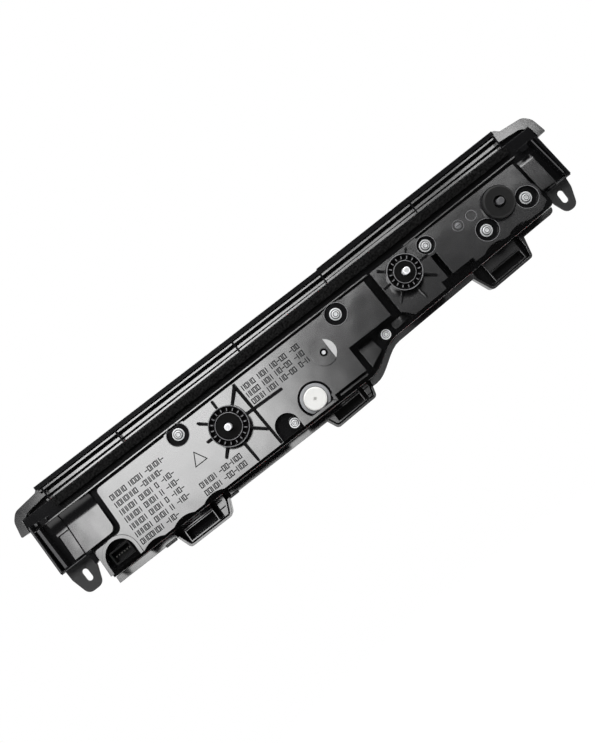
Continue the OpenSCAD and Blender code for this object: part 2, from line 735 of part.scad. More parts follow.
module housing_cuts() {
    for (s = large_screws) {
        rod(s[0], s[1], s[2], -20, well_floor(s[1]));
        rod(s[0], s[1], screw_d / 2 + fit_gap, 0, well_floor(s[1]) + wall + 1);
    }
    bridge = large_screws[2];
    rod(bridge[0], bridge[1], boss_r + fit_gap, well_floor(bridge[1]) + wall, floor_y + 1);
    tower_cuts(0, 0, ring_left_r, ring_left_pockets);
    tower_cuts(mid_stud_x, mid_stud_up, ring_mid_r, ring_mid_pockets);
    rod(right_stud_x, right_stud_up, shank_r + fit_gap / 2, -1, far / 4);
    intersection() {
        rod(vent_x, -vent_down, vent_well_r, -20, well_floor(-vent_down));
        slab(-20, far / 4) polygon(inset(main_outline(), wall));
    }
    rod(vent_x, -vent_down, vent_cap_r * 0.45, 0, well_floor(-vent_down) + wall + 1);
    arch(-pocket_x, pocket_down, pocket_r, -20, pocket_floor, plate_drop + 3);
    slab(pocket_floor - 1, pocket_floor + wall + 1)
        polygon(inset(header_outline(), header_wall));
    difference() {
        arch(small_pocket_x, pocket_down, small_pocket_r, -20, small_pocket_floor, plate_drop + 3);
        rod(small_screw_pocket[0], small_screw_pocket[1], small_flange_r + 1, small_pocket_floor - 5,
            small_pocket_floor);
    }
    rod(small_screw_pocket[0], small_screw_pocket[1], screw_d / 2 + fit_gap, -20,
        small_pocket_floor + wall + 1);
    rod(small_screw_post[0], small_screw_post[1], screw_d / 2 + fit_gap, 0, floor_y + 1);
    rod(locator_x, 0, locator_hole_r, -20, plate_y(0) + locator_depth);
    for (line = main_grooves) intersection() {
        fence(line[0], line[1], groove_w, -20, pan_back);
        difference() {
            slab(-20, pan_back) square(2 * far, center = true);
            in_front(groove_depth);
        }
    }
}
main_grooves = [[[groove_x, plate_top + 1], [groove_x + 3.2, -plate_drop - 1]]];

module housing() color([0.09, 0.09, 0.1]) difference() {
    union() {
        housing_walls();
        housing_liners();
        housing_raised();
    }
    housing_cuts();
}

// Box socket on the floor of the connector pocket
header_wall = 1.5;
header_w = 21;
header_h = 12.6;
header_depth = 13;
function header_outline() = let (z = -pocket_down + 7.5) [
    [-pocket_x - header_w / 2, z - header_h],
    [-pocket_x + header_w / 2, z - header_h],
    [-pocket_x + header_w / 2, z],
    [-pocket_x - header_w / 2, z]];
header_centre = -pocket_down + 7.5 - header_h / 2;

module connector_header() color([0.05, 0.05, 0.06]) {
    difference() {
        union() {
            slab(pocket_floor - header_depth, pocket_floor) polygon(rounded(header_outline(), 1.2));
            slab(pocket_floor, pocket_floor + wall + 1) polygon(inset(header_outline(),
                header_wall + fit_gap / 2));
        }
        slab(pocket_floor - header_depth - 1, pocket_floor - 2.4) polygon(inset(header_outline(),
            header_wall));
        for (p = header_pins) translate([p[0] - pin_side / 2, 0, p[1] - pin_side / 2]) cube([pin_side,
            far / 4, pin_side]);
    }
}
pin_side = 1.2;
pin_reach = 7;
header_pins = [for (i = [-2.5:1:2.5]) [-pocket_x + i * 2.9, header_centre]];

module connector_pins() color([0.8, 0.7, 0.45]) {
    for (p = header_pins) translate([p[0] - pin_side / 2, pocket_floor - pin_reach, p[1] - pin_side / 2])
        cube([pin_side, pin_reach + wall + 4, pin_side]);
}

// Headed stud, put in from inside the housing, with a shank thicker than its thread
shank_r = stud_d / 2 + shank_extra;
module stud(x, z, reach = stud_reach, root = 0) {
    cone(x, z, stud_d / 2 - 0.7, stud_d / 2, root - reach - 0.7, root - reach);
    rod(x, z, stud_d / 2, root - reach, root + 0.5);
    rod(x, z, shank_r, root, stud_seat(z) + 1);
    rod(x, z, stud_head_r, stud_seat(z), stud_seat(z) + stud_head_t);
}
module stud_left() color([0.75, 0.75, 0.78]) stud(0, 0);
module stud_mid() color([0.75, 0.75, 0.78]) stud(mid_stud_x, mid_stud_up);
module stud_right() color([0.75, 0.75, 0.78])
    stud(right_stud_x, right_stud_up, short_stud_reach, grommet_seat - grommet_h);

module stud_seal(x, z, r) {
    difference() {
        rod(x, z, r - 2 * ring_wall - ring_pocket - fit_gap, 0, seal_t);
        rod(x, z, shank_r + fit_gap / 2, -1, seal_t + 1);
    }
}
module stud_seal_left() color([0.06, 0.06, 0.06]) stud_seal(0, 0, ring_left_r);
module stud_seal_mid() color([0.06, 0.06, 0.06]) stud_seal(mid_stud_x, mid_stud_up, ring_mid_r);
module stud_grommet() color([0.08, 0.08, 0.08]) difference() {
    union() {
        rod(right_stud_x, right_stud_up, grommet_r, grommet_seat - grommet_h + 1.5, grommet_seat);
        cone(right_stud_x, right_stud_up, grommet_r - 1.5, grommet_r, grommet_seat - grommet_h,
            grommet_seat - grommet_h + 1.5);
    }
    rod(right_stud_x, right_stud_up, grommet_hole_r, grommet_seat - grommet_h - 1, grommet_seat + 1);
}

// Pan head with a flange and a cross recess
module screw(x, z, flange_r, seat) {
    difference() {
        union() {
            rod(x, z, flange_r, seat - 1, seat);
            rod(x, z, flange_r * 0.72, seat - 2.6, seat - 1);
            cone(x, z, flange_r * 0.56, flange_r * 0.72, seat - 3.2, seat - 2.6);
            rod(x, z, screw_d / 2, seat - 0.5, seat + screw_length);
        }
        for (a = [0, 90]) translate([x, seat - 4, z]) rotate([0, a, 0])
            translate([-flange_r * 0.36, 0, -0.5]) cube([flange_r * 0.72, 2.6, 1]);
    }
}
module flange_screws() color([0.78, 0.78, 0.8])
    for (s = large_screws) screw(s[0], s[1], screw_flange_r, well_floor(s[1]));
module small_screws() color([0.78, 0.78, 0.8]) {
    screw(small_screw_pocket[0], small_screw_pocket[1], small_flange_r, small_pocket_floor - 5);
    screw(small_screw_post[0], small_screw_post[1], small_flange_r, post_y);
}

vent_floor = well_floor(-vent_down);
module vent_collar() color([0.7, 0.7, 0.72]) difference() {
    rod(vent_x, -vent_down, vent_collar_r, vent_floor - 3.5, vent_floor);
    rod(vent_x, -vent_down, vent_cap_r + fit_gap, vent_floor - 4.5, vent_floor + 1);
    slab(vent_floor - 5, vent_floor + 1) polygon([
        [vent_x - far, -vent_down - far], [vent_x + far, -vent_down - far],
        [vent_x + far, -plate_drop + wall + fit_gap], [vent_x - far, -plate_drop + wall + fit_gap]]);
}
module vent_cap() color([0.92, 0.92, 0.9]) difference() {
    union() {
        rod(vent_x, -vent_down, vent_cap_r, vent_floor - vent_cap_h + 1, vent_floor);
        cone(vent_x, -vent_down, vent_cap_r - 1, vent_cap_r, vent_floor - vent_cap_h,
            vent_floor - vent_cap_h + 1);
        rod(vent_x, -vent_down, vent_cap_r * 0.45 - fit_gap, vent_floor - 1, vent_floor + wall + 1);
    }
    rod(vent_x, -vent_down, 1.5, vent_floor - vent_cap_h - 1, vent_floor - vent_cap_h + 1.4);
}

module locating_pin() color([0.78, 0.78, 0.8]) {
    base = plate_y(0) + locator_depth;
    rod(locator_x, 0, locator_hole_r * 0.5, base - locator_depth * 0.9, base);
}

// Top edge of the bezel at its ends, and where its two runs meet
bezel_z = reach_top + bezel_h;
joint_x = step_x;
run_left_x = left_x + 29;
run_right_x = right_x - 35;
cap_top = reach_top + cap_h;
cap_bottom = reach_top - cap_drop;
bezel_rear = pan_back - bezel_reach;
ledge_y = pan_back + 4;

// Band across both runs of the bezel, between two heights over the housing measured at the ends
module bezel_band(low, high, y_rear, y_front, drop = bezel_drop) {
    zl = reach_top + low;
    zh = reach_top + high;
    low_drop = low > fit_gap ? drop : 0;
    slab(y_rear, y_front) polygon([[run_left_x, zl], [joint_x, zl - low_drop], [run_right_x, zl],
        [run_right_x, zh], [joint_x, zh - drop + 1.2], [joint_x, zh - drop], [run_left_x, zh]]);
}

// Ledge whose rear face leans like the plates
module bezel_ledge(low, high, drop, back = 0) {
    intersection() {
        bezel_band(low, high, ledge_y - 8, bezel_web_front, drop);
        leaning(ledge_y - back, reach_top + high);
    }
}
// Everything in front of a plane that leans like the plates and passes y at the height z
module leaning(y, z) {
    translate([0, y, z]) rotate([-plate_tilt, 0, 0]) translate([-far / 2, 0, -far / 2]) cube([far, far,
        far]);
}
bezel_web_front = ledge_y + ledge_depth + bezel_t;

function cap_outer(s, end_x, lean) = let (ramp_x = s > 0 ? run_left_x : run_right_x + 4) [
    [end_x - s * (cap_w - lean), cap_bottom],
    [end_x - s * (cap_w - lean - 2.4), cap_top - 7],
    [end_x - s * (cap_w - lean - 8.2), cap_top],
    [ramp_x - s * 4, cap_top + 2.6],
    [ramp_x, bezel_z - 0.4],
    [ramp_x + s * 5, bezel_z - 0.4],
    [ramp_x + s * 5, reach_top + fit_gap],
    [end_x + s * (lean - 0.4 + fit_gap), reach_top + fit_gap],
    [end_x - s * (fit_gap - lean * 0.75), cap_bottom]];
cap_radii = [1.5, 10, 9, 1.5, 1.5, 0, 0, 0.4, 0.4];

// End cap: a leaning lip round a sunk floor, hollow towards the lens
module bezel_cap(s, end_x, lean) {
    outline = rounded(cap_outer(s, end_x, lean), cap_radii);
    module shape(d = 0) { translate([s * d, -d]) polygon(outline); }
    intersection() {
        slab(bezel_rear, bezel_web_front) difference() {
            shape();
            shape(cap_lip);
        }
        leaning(pan_back + 2, cap_top);
    }
    slab(bezel_web_front - bezel_t, bezel_web_front) shape();
    slab(bezel_front - bezel_t, bezel_front) shape();
    slab(bezel_web_front - 0.5, bezel_front) difference() {
        shape();
        shape(bezel_t);
    }
}

module bezel() color([0.05, 0.05, 0.06]) {
    bezel_band(bezel_h - bezel_top_t, bezel_h, bezel_rear, bezel_front);
    bezel_band(fit_gap, bezel_h - bezel_top_t + 0.5, ledge_y + ledge_depth, bezel_web_front);
    bezel_ledge(10.4, 12.4, bezel_drop, 6);
    bezel_ledge(4.4, 7.6, bezel_drop * 0.7);
    bezel_ledge(fit_gap, 2.4, 0);
    bezel_band(fit_gap, bezel_h - 1, bezel_front - bezel_t, bezel_front, 0.9);
    for (x = [run_left_x + 5, -86, 46, joint_x, 249, run_right_x - 1]) intersection() {
        translate([x - bezel_rib_t / 2, bezel_rear + 2, reach_top + fit_gap])
            cube([bezel_rib_t, bezel_web_front - bezel_rear - 2, bezel_h]);
        bezel_band(fit_gap, bezel_h - 1, bezel_rear, bezel_front);
    }
    bezel_cap(1, left_x, lean_left);
    bezel_cap(-1, right_x, lean_right);
}

// Strip of the lower cover under the housing's edge, between two depths below it
module lip_band(x0, x1, low, high, y_rear, y_front) {
    xs = stations(x0, x1);
    n = len(xs);
    slab(y_rear, y_front) polygon([
        for (x = xs) [x, lower_z(x) - fit_gap - lip_h(x) * low],
        for (i = [n - 1:-1:0]) [xs[i], lower_z(xs[i]) - fit_gap - lip_h(xs[i]) * high]]);
}

cover_rear = pan_back - cover_proud - 4;
cover_front = cover_rear + cover_depth + 4;
cover_left = deep_left_x + 2.6;
cover_right = deep_right_x - 4;
// Front of the guard loops, and the floor of the pockets in them
loop_front = pan_back + 9;
loop_floor = loop_front - 3;

// Foot of the lip at a place along X
function lip_foot(x) = lower_z(x) - fit_gap - lip_h(x);

// Guard loops: ends at the lip, insets of the foot's corners, drop, rise of the foot to the right,
// clip window and its top over the lip's foot, slots beside it with the shift of their foot, and
// a block with cross lines and the lines' places under the lip's foot
loop_left = [[-102.3, -38.6], [7.7, 9.5], loop_drop_left, 0, [-90.5, -60.6], 0,
    [[-99.6, -91.7, 0], [-59.5, -54.2, 0], [-45.2, -38.6, -3]], [-54.2, -48.2], [2.8, -3.3]];
loop_mid = [[66.9, 123.9], [7.5, 5], loop_drop_mid, 1.5, [78.9, 107.9], 2,
    [[109, 112.8, 0], [118.8, 122.4, -2]], [112.8, 118], [2.8, -3.3]];
loop_right = [[250.4, 313.2], [9.4, 6.7], loop_drop_right, 1.8, [267.8, 300.6], -5.4,
    [[255.5, 266.5, 0], [301.8, 307.5, 0]], [270, 299], [-8.6]];
guard_loops = [loop_left, loop_mid, loop_right];
function loop_outline(g) = let (
    x0 = g[0][0],
    x1 = g[0][1],
    foot = lip_foot(x0) - g[2],
    top = lower_z(x0) - fit_gap) [
    [x0 + g[1][0], foot],
    [x1 - g[1][1], foot + g[3]],
    [x1, top + g[3]],
    [x0, top]];

// Body of a guard loop, its rear face leaning like the lip's
module guard_loop(g) {
    x0 = g[0][0];
    x1 = g[0][1];
    intersection() {
        slab(cover_rear - 4, loop_front) polygon(rounded(loop_outline(g), [4, 4, 0, 0]));
        slab(cover_rear - 4, loop_front) polygon([[x0 - 1, -far], [x1 + 1, -far],
            for (i = [6:-1:0]) let (x = x0 + (x1 - x0) * i / 6) [x,
                lower_z(x) - fit_gap - lip_h(x) * 0.6]]);
        leaning(pan_back + 4.2, 0);
    }
}

// Window, slots, cross lines and rim groove, sunk into a loop and the lip over it
module guard_loop_cuts(g) {
    lip = lip_foot(g[0][0]);
    foot = lip - g[2];
    sill = foot + loop_wall + loop_groove + 1.6;
    window_top = lip + g[5];
    rows = [window_top + 1.4, window_top + 3.4];
    slab(0, loop_floor) polygon([[g[4][0], sill], [g[4][1], sill + g[3] / 2],
        [g[4][1], window_top + g[3] / 2], [g[4][0], window_top]]);
    for (w = g[6]) {
        slab(0, loop_floor) polygon([[w[0], lip + 0.5], [w[1], lip + 0.5], [w[1], lip + 12], [w[0],
            lip + 12]]);
        intersection() {
            slab(0, loop_floor) polygon([[w[0] + w[2], sill - 1], [w[1], sill - 1], [w[1], lip + 1],
                [w[0], lip + 1]]);
            slab(0, loop_floor) polygon(inset(loop_outline(g), loop_wall));
        }
    }
    for (z = rows) slab(0, pan_back - 3) polygon([[g[4][0] - 0.5, z - 0.35], [g[4][1], z - 0.35 + g[3] / 2],
        [g[4][1], z + 0.35 + g[3] / 2], [g[4][0] - 0.5, z + 0.35]]);
    for (z = g[8]) slab(0, pan_back - 2) polygon([[g[7][0], lip + z - 0.3], [g[7][1], lip + z - 0.3],
        [g[7][1], lip + z + 0.3], [g[7][0], lip + z + 0.3]]);
    intersection() {
        slab(0, pan_back - 4) difference() {
            polygon(rounded(inset(loop_outline(g), loop_wall), [3, 3, 0, 0]));
            polygon(rounded(inset(loop_outline(g), loop_wall + loop_groove), [2.4, 2.4, 0, 0]));
        }
        slab(0, far / 4) polygon([[-far, -far], [far, -far], [far, lip + g[3]], [-far, lip]]);
    }
}

// Keeps the lip's right end round
lip_reach = let (foot = lip_foot(cover_right)) [
    [cover_left - 1, -far],
    [cover_right - 5, -far],
    each corner([cover_right - 30, foot], [cover_right, foot], [cover_right, foot + 30], lip_right - 0.4),
    [cover_right, far],
    [cover_left - 1, far]];

module lower_cover() color([0.1, 0.1, 0.11]) difference() {
    union() {
        intersection() {
            lip_band(cover_left, cover_right, 1, 0, cover_rear, cover_front);
            leaning(pan_back + 4.2, 0);
            slab(0, far / 4) polygon(lip_reach);
        }
        for (g = guard_loops) guard_loop(g);
        for (x = [[-113, -101], [-41, -31]]) rod_x(x[0], x[1], lip_foot(x[0]) + 0.3, pan_back - 5.4, 1.5);
    }
    for (g = guard_loops) guard_loop_cuts(g);
}

// Short round rod along X
module rod_x(x0, x1, z, y, r) {
    translate([x0, y, z]) rotate([0, 90, 0]) cylinder(r = r, h = x1 - x0);
}

// Ear with a slot, hung under an end box and against the deep part's side
module ear(outline, radii, slot_x, slot_z) {
    difference() {
        slab(pan_back + 3, pan_back + 3 + ear_t) polygon(rounded(outline, radii));
        for (s = [-1, 1]) rod(slot_x, slot_z + s * (slot_l - slot_w) / 2, slot_w / 2, 0, far / 4);
        slab(0, far / 4) polygon([
            [slot_x - slot_w / 2, slot_z - (slot_l - slot_w) / 2], [slot_x + slot_w / 2,
                slot_z - (slot_l - slot_w) / 2],
            [slot_x + slot_w / 2, slot_z + (slot_l - slot_w) / 2], [slot_x - slot_w / 2,
                slot_z + (slot_l - slot_w) / 2]]);
    }
}
ear_left_slot = [left_x + 17.3, -end_bottom_left - 15];
ear_right_slot = [right_x - 17.8, -end_bottom_right - 12.7];
module end_ear_left() color([0.16, 0.16, 0.17]) {
    top = -end_bottom_left;
    ear([[left_x + 8, top - ear_drop], [left_x + 23.5, top - ear_drop], [deep_left_x - 5.4, top - 12],
        [deep_left_x - 6.4, top - 9], [deep_left_x - 6.4, top], [left_x + 3, top], [left_x + 3.2,
            top - 11]],
        [7, 7, 3, 2, 0, 1, 6], ear_left_slot[0], ear_left_slot[1]);
}
module end_ear_right() color([0.16, 0.16, 0.17]) {
    top = -end_bottom_right;
    ear([[deep_right_x + 6, top - ear_drop + 3], [right_x - 12, top - ear_drop + 3], [right_x - 6,
        top - 10],
        [right_x - 5, top], [deep_right_x, top], [deep_right_x, top - 9], [deep_right_x + 1, top - 14]],
        [7, 7, 6, 1, 0, 2, 3], ear_right_slot[0], ear_right_slot[1]);
}

module foam_seal() color([0.1, 0.1, 0.1]) {
    top = reach_top - 0.7;
    slab(foam_y, pan_back) polygon([
        [deep_left_x - 1, top - foam_h + 0.3], [joint_x, top - foam_h - 1.3], [deep_right_x - 5,
            top - foam_h + 0.3],
        [deep_right_x - 5, top], [joint_x, top - 1.3], [deep_left_x - 1, top]]);
}

// Outline of the lens: the housing's, with its steps eased
lens_ease = 9;
function lens_low(x) =
    x < deep_left_x ? -end_bottom_left
    : x < deep_left_x + lens_ease ? -end_bottom_left
        + (lower_z(x) + end_bottom_left) * smooth((x - deep_left_x) / lens_ease)
    : x > deep_right_x ? -end_bottom_right
    : x > deep_right_x - lens_ease ? -end_bottom_right
        + (lower_z(x) + end_bottom_right) * smooth((deep_right_x - x) / lens_ease)
    : lower_z(x);

// Stations along the lens between its two ends, moved in by d
lens_x0 = left_x + lean_left + 1;
lens_x1 = right_x - lean_right - 1;
function lens_stations(d) = [
    for (k = [0:4]) lens_x0 + d + (lens_end_r - d) * (1 - cos(k * 22.5)),
    for (k = [0:4]) deep_left_x + lens_ease * k / 4 + d,
    for (x = stations(deep_left_x + lens_ease + 4, deep_right_x - lens_ease - 4)) x,
    for (k = [0:4]) deep_right_x - lens_ease * (1 - k / 4) - d,
    for (k = [4:-1:0]) lens_x1 - d - (lens_end_r - d) * (1 - cos(k * 22.5))];

// How far the front is drawn back near the ends
function lens_draw(x, d) = let (
        e = min(x - lens_x0 - d, lens_x1 - d - x),
        r = lens_end_r - d
    )
    e >= r ? 0 : r - sqrt(max(0, r * r - (r - e) * (r - e)));

bar_top = reach_top - lens_edge_r - 6;
bar_low = bar_top - bar_h;
// Section of the lens at x, moved in by d, from its lower rim round the front to its upper rim
function lens_section(x, d) = let (
        back = lens_draw(x, d),
        zb = max(lens_low(x - d), lens_low(x), lens_low(x + d)) + d,
        zt = reach_top - 0.5 - d,
        f = lens_front - d - back,
        b = bar_front - d - back - bar_depth * smooth(back / lens_end_r),
        r = min(lens_edge_r - d, 0.7 * (f - lens_rear)),
        z0 = bar_low + d,
        z1 = bar_top - d
    ) [
    [x, lens_rear - (d > 0 ? 1 : 0), zb],
    for (k = [0:3]) [x, f - r + r * sin(k * 30), zb + r - r * cos(k * 30)],
    for (k = [0:4]) [x, f + (b - f) * smooth(k / 4), z0 + 7 * k / 4],
    for (k = [4:-1:0]) [x, f + (b - f) * smooth(k / 4), z1 + 3 - 5 * k / 4],
    for (k = [3:-1:0]) [x, f - r + r * sin(k * 30), zt - r + r * cos(k * 30)],
    [x, lens_rear - (d > 0 ? 1 : 0), zt]];

module lens_form(d) {
    xs = lens_stations(d);
    n = len(xs);
    m = len(lens_section(0, d));
    polyhedron(
        points = [for (x = xs) each lens_section(x, d)],
        faces = [
            [for (j = [0:m - 1]) j],
            for (i = [0:n - 2]) for (j = [0:m - 1]) let (k = (j + 1) % m)
                [i * m + j, (i + 1) * m + j, (i + 1) * m + k, i * m + k],
            [for (j = [m - 1:-1:0]) (n - 1) * m + j]],
        convexity = 8);
}

// Clear window in the lens's flat front, under the light bar
reverse_x = right_left + 36;
reverse_z = bar_low - 3 - reverse_h / 2;
function reverse_outline() = let (w = reverse_w / 2, h = reverse_h / 2) [
    [reverse_x - w, reverse_z - h], [reverse_x + w, reverse_z - h],
    [reverse_x + w, reverse_z + h], [reverse_x - w, reverse_z + h]];

module outer_lens() color([0.72, 0.04, 0.06, 0.85]) difference() {
    lens_form(0);
    lens_form(lens_wall);
    slab(lens_front - lens_wall - 1, lens_front + 1) polygon(rounded(reverse_outline(), 4));
}
module reverse_window() color([0.93, 0.94, 0.95, 0.7])
    slab(lens_front - lens_wall, lens_front) polygon(rounded(inset(reverse_outline(), fit_gap / 6), 4));

// Bead that bonds the lens to the housing's rim
module lens_bead() color([0.12, 0.12, 0.12]) {
    outer = inset(pan_outline(), 0.4);
    slab(flange_y, lens_rear) difference() {
        polygon(outer);
        polygon(inset(outer, wall - 0.6));
    }
}

// Carrier that the boards and inner lenses are fixed to
module inner_bracket() color([0.86, 0.86, 0.84]) {
    outline = inset(pan_outline(), wall + 1);
    difference() {
        union() {
            slab(bracket_y, board_y) polygon(outline);
            for (s = large_screws) rod(s[0], s[1], boss_r, well_floor(s[1]) + wall, bracket_y + 0.5);
            for (x = bracket_feet) rod(x[0], x[1], 3, floor_y, bracket_y + 0.5);
        }
        for (s = large_screws) rod(s[0], s[1], screw_d / 2, 0, far / 4);
        slab(bracket_y - 1, board_y + 1) polygon([[-150, -30], [-70, -30], [-70, -24], [-150, -24]]);
        for (x = [-110, -20, 60]) slab(bracket_y - 1, board_y + 1)
            polygon([[x, 20.5], [x + 50, 20.5], [x + 50, 24], [x, 24]]);
    }
}
bracket_feet = [[left_x + 12, reach_top - 11], for (x = [-20, 120, 260]) [x, reach_top - 10],
    [deep_left_x + 8, reach_top - 10], [right_x - 14, reach_top - 17]];

boss_r = screw_d / 2 + 1.5;

// Board on the bracket's front
module board(x0, x1, z0, z1) {
    difference() {
        slab(board_y, led_y) polygon(rounded([[x0, z0], [x1, z0], [x1, z1], [x0, z1]], 2));
        for (x = [x0 + 5, x1 - 5]) rod(x, (z0 + z1) / 2, 1.6, board_y - 1, led_y + 1);
    }
}
tail_row = [left_x + 16, right_x - 22, reach_top - 20, reach_top - 6];
stop_row = [-150, 96, -26, 18];
reverse_row = [right_left - 8, right_left + 84, -20, 6];
module tail_board() color([0.9, 0.9, 0.88]) board(tail_row[0], tail_row[1], tail_row[2], tail_row[3]);
module stop_board() color([0.9, 0.9, 0.88]) board(stop_row[0], stop_row[1], stop_row[2], stop_row[3]);
module reverse_board() color([0.9, 0.9, 0.88])
    board(reverse_row[0], reverse_row[1], reverse_row[2], reverse_row[3]);

// LED packages in a row or a grid on a board
module leds(row, columns, rows) {
    for (i = [0:columns - 1], j = [0:rows - 1]) {
        x = row[0] + 12 + (row[1] - row[0] - 24) * (columns > 1 ? i / (columns - 1) : 0.5);
        z = rows > 1 ? row[2] + 8 + (row[3] - row[2] - 16) * j / (rows - 1) : (row[2] + row[3]) / 2;
        translate([x - led_side / 2, led_y, z - led_side / 2]) cube([led_side, led_h, led_side]);
    }
}
module tail_leds() color([0.95, 0.85, 0.4]) leds(tail_row, 30, 1);
module stop_leds() color([0.95, 0.85, 0.4]) leds(stop_row, 12, 2);
module reverse_leds() color([0.95, 0.85, 0.4]) leds(reverse_row, 5, 1);

// Fluted plate on legs, in front of a board
module inner_lens(x0, x1, z0, z1, foot0 = board_y, foot1 = board_y) {
    count = floor((x1 - x0) / flute_pitch);
    pitch = (x1 - x0) / count;
    rise = pitch * 0.18;
    r = (pitch * pitch / 4 + rise * rise) / 2 / rise;
    a = asin(pitch / 2 / r);
    translate([0, 0, z0]) linear_extrude(z1 - z0) polygon([
        [x1, inner_lens_y], [x0, inner_lens_y],
        for (i = [0:count - 1]) each [for (k = [i == 0 ? 0 : 1:4]) let (t = a - 2 * a * k / 4)
            [x0 + (i + 0.5) * pitch - r * sin(t), inner_lens_y + inner_lens_t + rise - r + r * cos(t)]]]);
    for (leg = [[x0, foot0], [x1 - inner_lens_t, foot1]]) translate([leg[0], leg[1], z0])
        cube([inner_lens_t, inner_lens_y - leg[1] + 1, z1 - z0]);
}
module inner_lens_tail() color([0.9, 0.5, 0.5, 0.8])
    inner_lens(tail_row[0] - 4, tail_row[1] + 4, tail_row[2] + 1, tail_row[3] - 1);
module inner_lens_left() color([0.9, 0.5, 0.5, 0.8])
    inner_lens(stop_row[0] - 4, (stop_row[0] + stop_row[1]) / 2 - 1, stop_row[2] + 4, stop_row[3] - 2,
        foot1 = led_y);
module inner_lens_right() color([0.9, 0.5, 0.5, 0.8])
    inner_lens((stop_row[0] + stop_row[1]) / 2 + 1, stop_row[1] + 4, stop_row[2] + 4, stop_row[3] - 2,
        foot0 = led_y);
module inner_lens_reverse() color([0.9, 0.92, 0.95, 0.8])
    inner_lens(reverse_row[0] - 4, reverse_row[1] + 4, reverse_row[2] + 3, reverse_row[3] - 1);

// Finned plate behind the stop board's bracket
module heat_sink() color([0.75, 0.76, 0.78]) {
    x0 = 12;
    x1 = 92;
    base = 2;
    slab(bracket_y - base, bracket_y) polygon([[x0, -16], [x1, -16], [x1, 14], [x0, 14]]);
    for (i = [0:fin_count - 1]) translate([x0 + (x1 - x0 - 1.2) * i / (fin_count - 1),
        bracket_y - base - fin_h, -16])
        cube([1.2, fin_h + 0.5, 30]);
}

housing();
outer_lens();
reverse_window();
bezel();
lower_cover();
end_ear_left();
end_ear_right();
foam_seal();
lens_bead();
stud_left();
stud_mid();
stud_right();
stud_seal_left();
stud_seal_mid();
stud_grommet();
flange_screws();
small_screws();
vent_collar();
vent_cap();
locating_pin();
connector_header();
connector_pins();
inner_bracket();
inner_lens_tail();
inner_lens_left();
inner_lens_right();
inner_lens_reverse();
tail_board();
stop_board();
reverse_board();
tail_leds();
stop_leds();
reverse_leds();
heat_sink();
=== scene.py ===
"""Looks of a long LED rear lamp for a car, seen from the side that faces the body.

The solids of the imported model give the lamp's shape. This file softens their moulded edges, adds
the small detail that only the eye needs, and gives each piece its finish. Lengths are in
millimetres, but for the studio around the lamp, whose lengths are in metres.
"""

from __future__ import annotations

import json
import logging
import math
from dataclasses import dataclass
from enum import Enum
from typing import Sequence

import bpy
from mathutils import Matrix, Vector

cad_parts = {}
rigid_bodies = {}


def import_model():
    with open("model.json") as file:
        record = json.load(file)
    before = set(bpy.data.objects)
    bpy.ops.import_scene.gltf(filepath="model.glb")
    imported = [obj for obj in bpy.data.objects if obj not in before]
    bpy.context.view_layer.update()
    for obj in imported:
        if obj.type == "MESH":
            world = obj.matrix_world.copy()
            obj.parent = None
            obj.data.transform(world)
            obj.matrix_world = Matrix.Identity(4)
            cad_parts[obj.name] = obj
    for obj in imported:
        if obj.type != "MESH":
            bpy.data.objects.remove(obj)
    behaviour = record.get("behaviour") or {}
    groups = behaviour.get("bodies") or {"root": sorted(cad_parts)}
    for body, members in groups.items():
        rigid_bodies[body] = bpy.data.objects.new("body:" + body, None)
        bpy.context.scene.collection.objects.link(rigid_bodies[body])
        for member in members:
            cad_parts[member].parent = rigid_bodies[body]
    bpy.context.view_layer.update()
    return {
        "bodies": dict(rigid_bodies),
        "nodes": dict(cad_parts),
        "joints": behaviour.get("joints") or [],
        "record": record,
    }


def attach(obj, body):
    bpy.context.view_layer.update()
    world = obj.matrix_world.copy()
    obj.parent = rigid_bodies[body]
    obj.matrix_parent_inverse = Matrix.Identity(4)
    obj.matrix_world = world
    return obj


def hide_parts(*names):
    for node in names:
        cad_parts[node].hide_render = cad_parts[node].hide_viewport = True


Colour = tuple[float, float, float]
Place = tuple[float, float]
Spot = tuple[float, float, float]
Socket = bpy.types.NodeSocket

LOG = logging.getLogger("rear_lamp")
FRAME: dict = {}
MM = 0.001
REARWARD = Vector((0, -1, 0))
FORWARD = Vector((0, 1, 0))

# Lean of the housing's rear plates, and how far forward their face lies at the height of the left stud
PLATE_TILT = math.radians(12)
PLATE_BACK = 13.0
PLATE_NORMAL = Vector((0, -math.cos(PLATE_TILT), math.sin(PLATE_TILT)))

# Ends of the housing, and the heights of its end boxes' feet
LEFT_X, LEFT_FOOT = -204.0, -12.6
RIGHT_X, RIGHT_FOOT = 381.0, -9.0

# Axes of the studs, along the lamp and up
LEFT_STUD: Place = (0.0, 0.0)
MID_STUD: Place = (203.1, 12.0)
RIGHT_STUD: Place = (306.8, 9.7)


def at(x: float, y: float, z: float) -> Vector:
    """Returns a point that is given in millimetres."""
    return Vector((x, y, z)) * MM


def on_plate(x: float, z: float, proud: float = 0) -> Vector:
    """Returns a point on the housing's leaning plates.

    Args:
        x: place along the lamp, in millimetres.
        z: height, in millimetres.
        proud: distance from the plate's face, in millimetres.

    Returns:
        The point.
    """
    return at(x, PLATE_BACK + math.tan(PLATE_TILT) * z, z) + PLATE_NORMAL * (proud * MM)


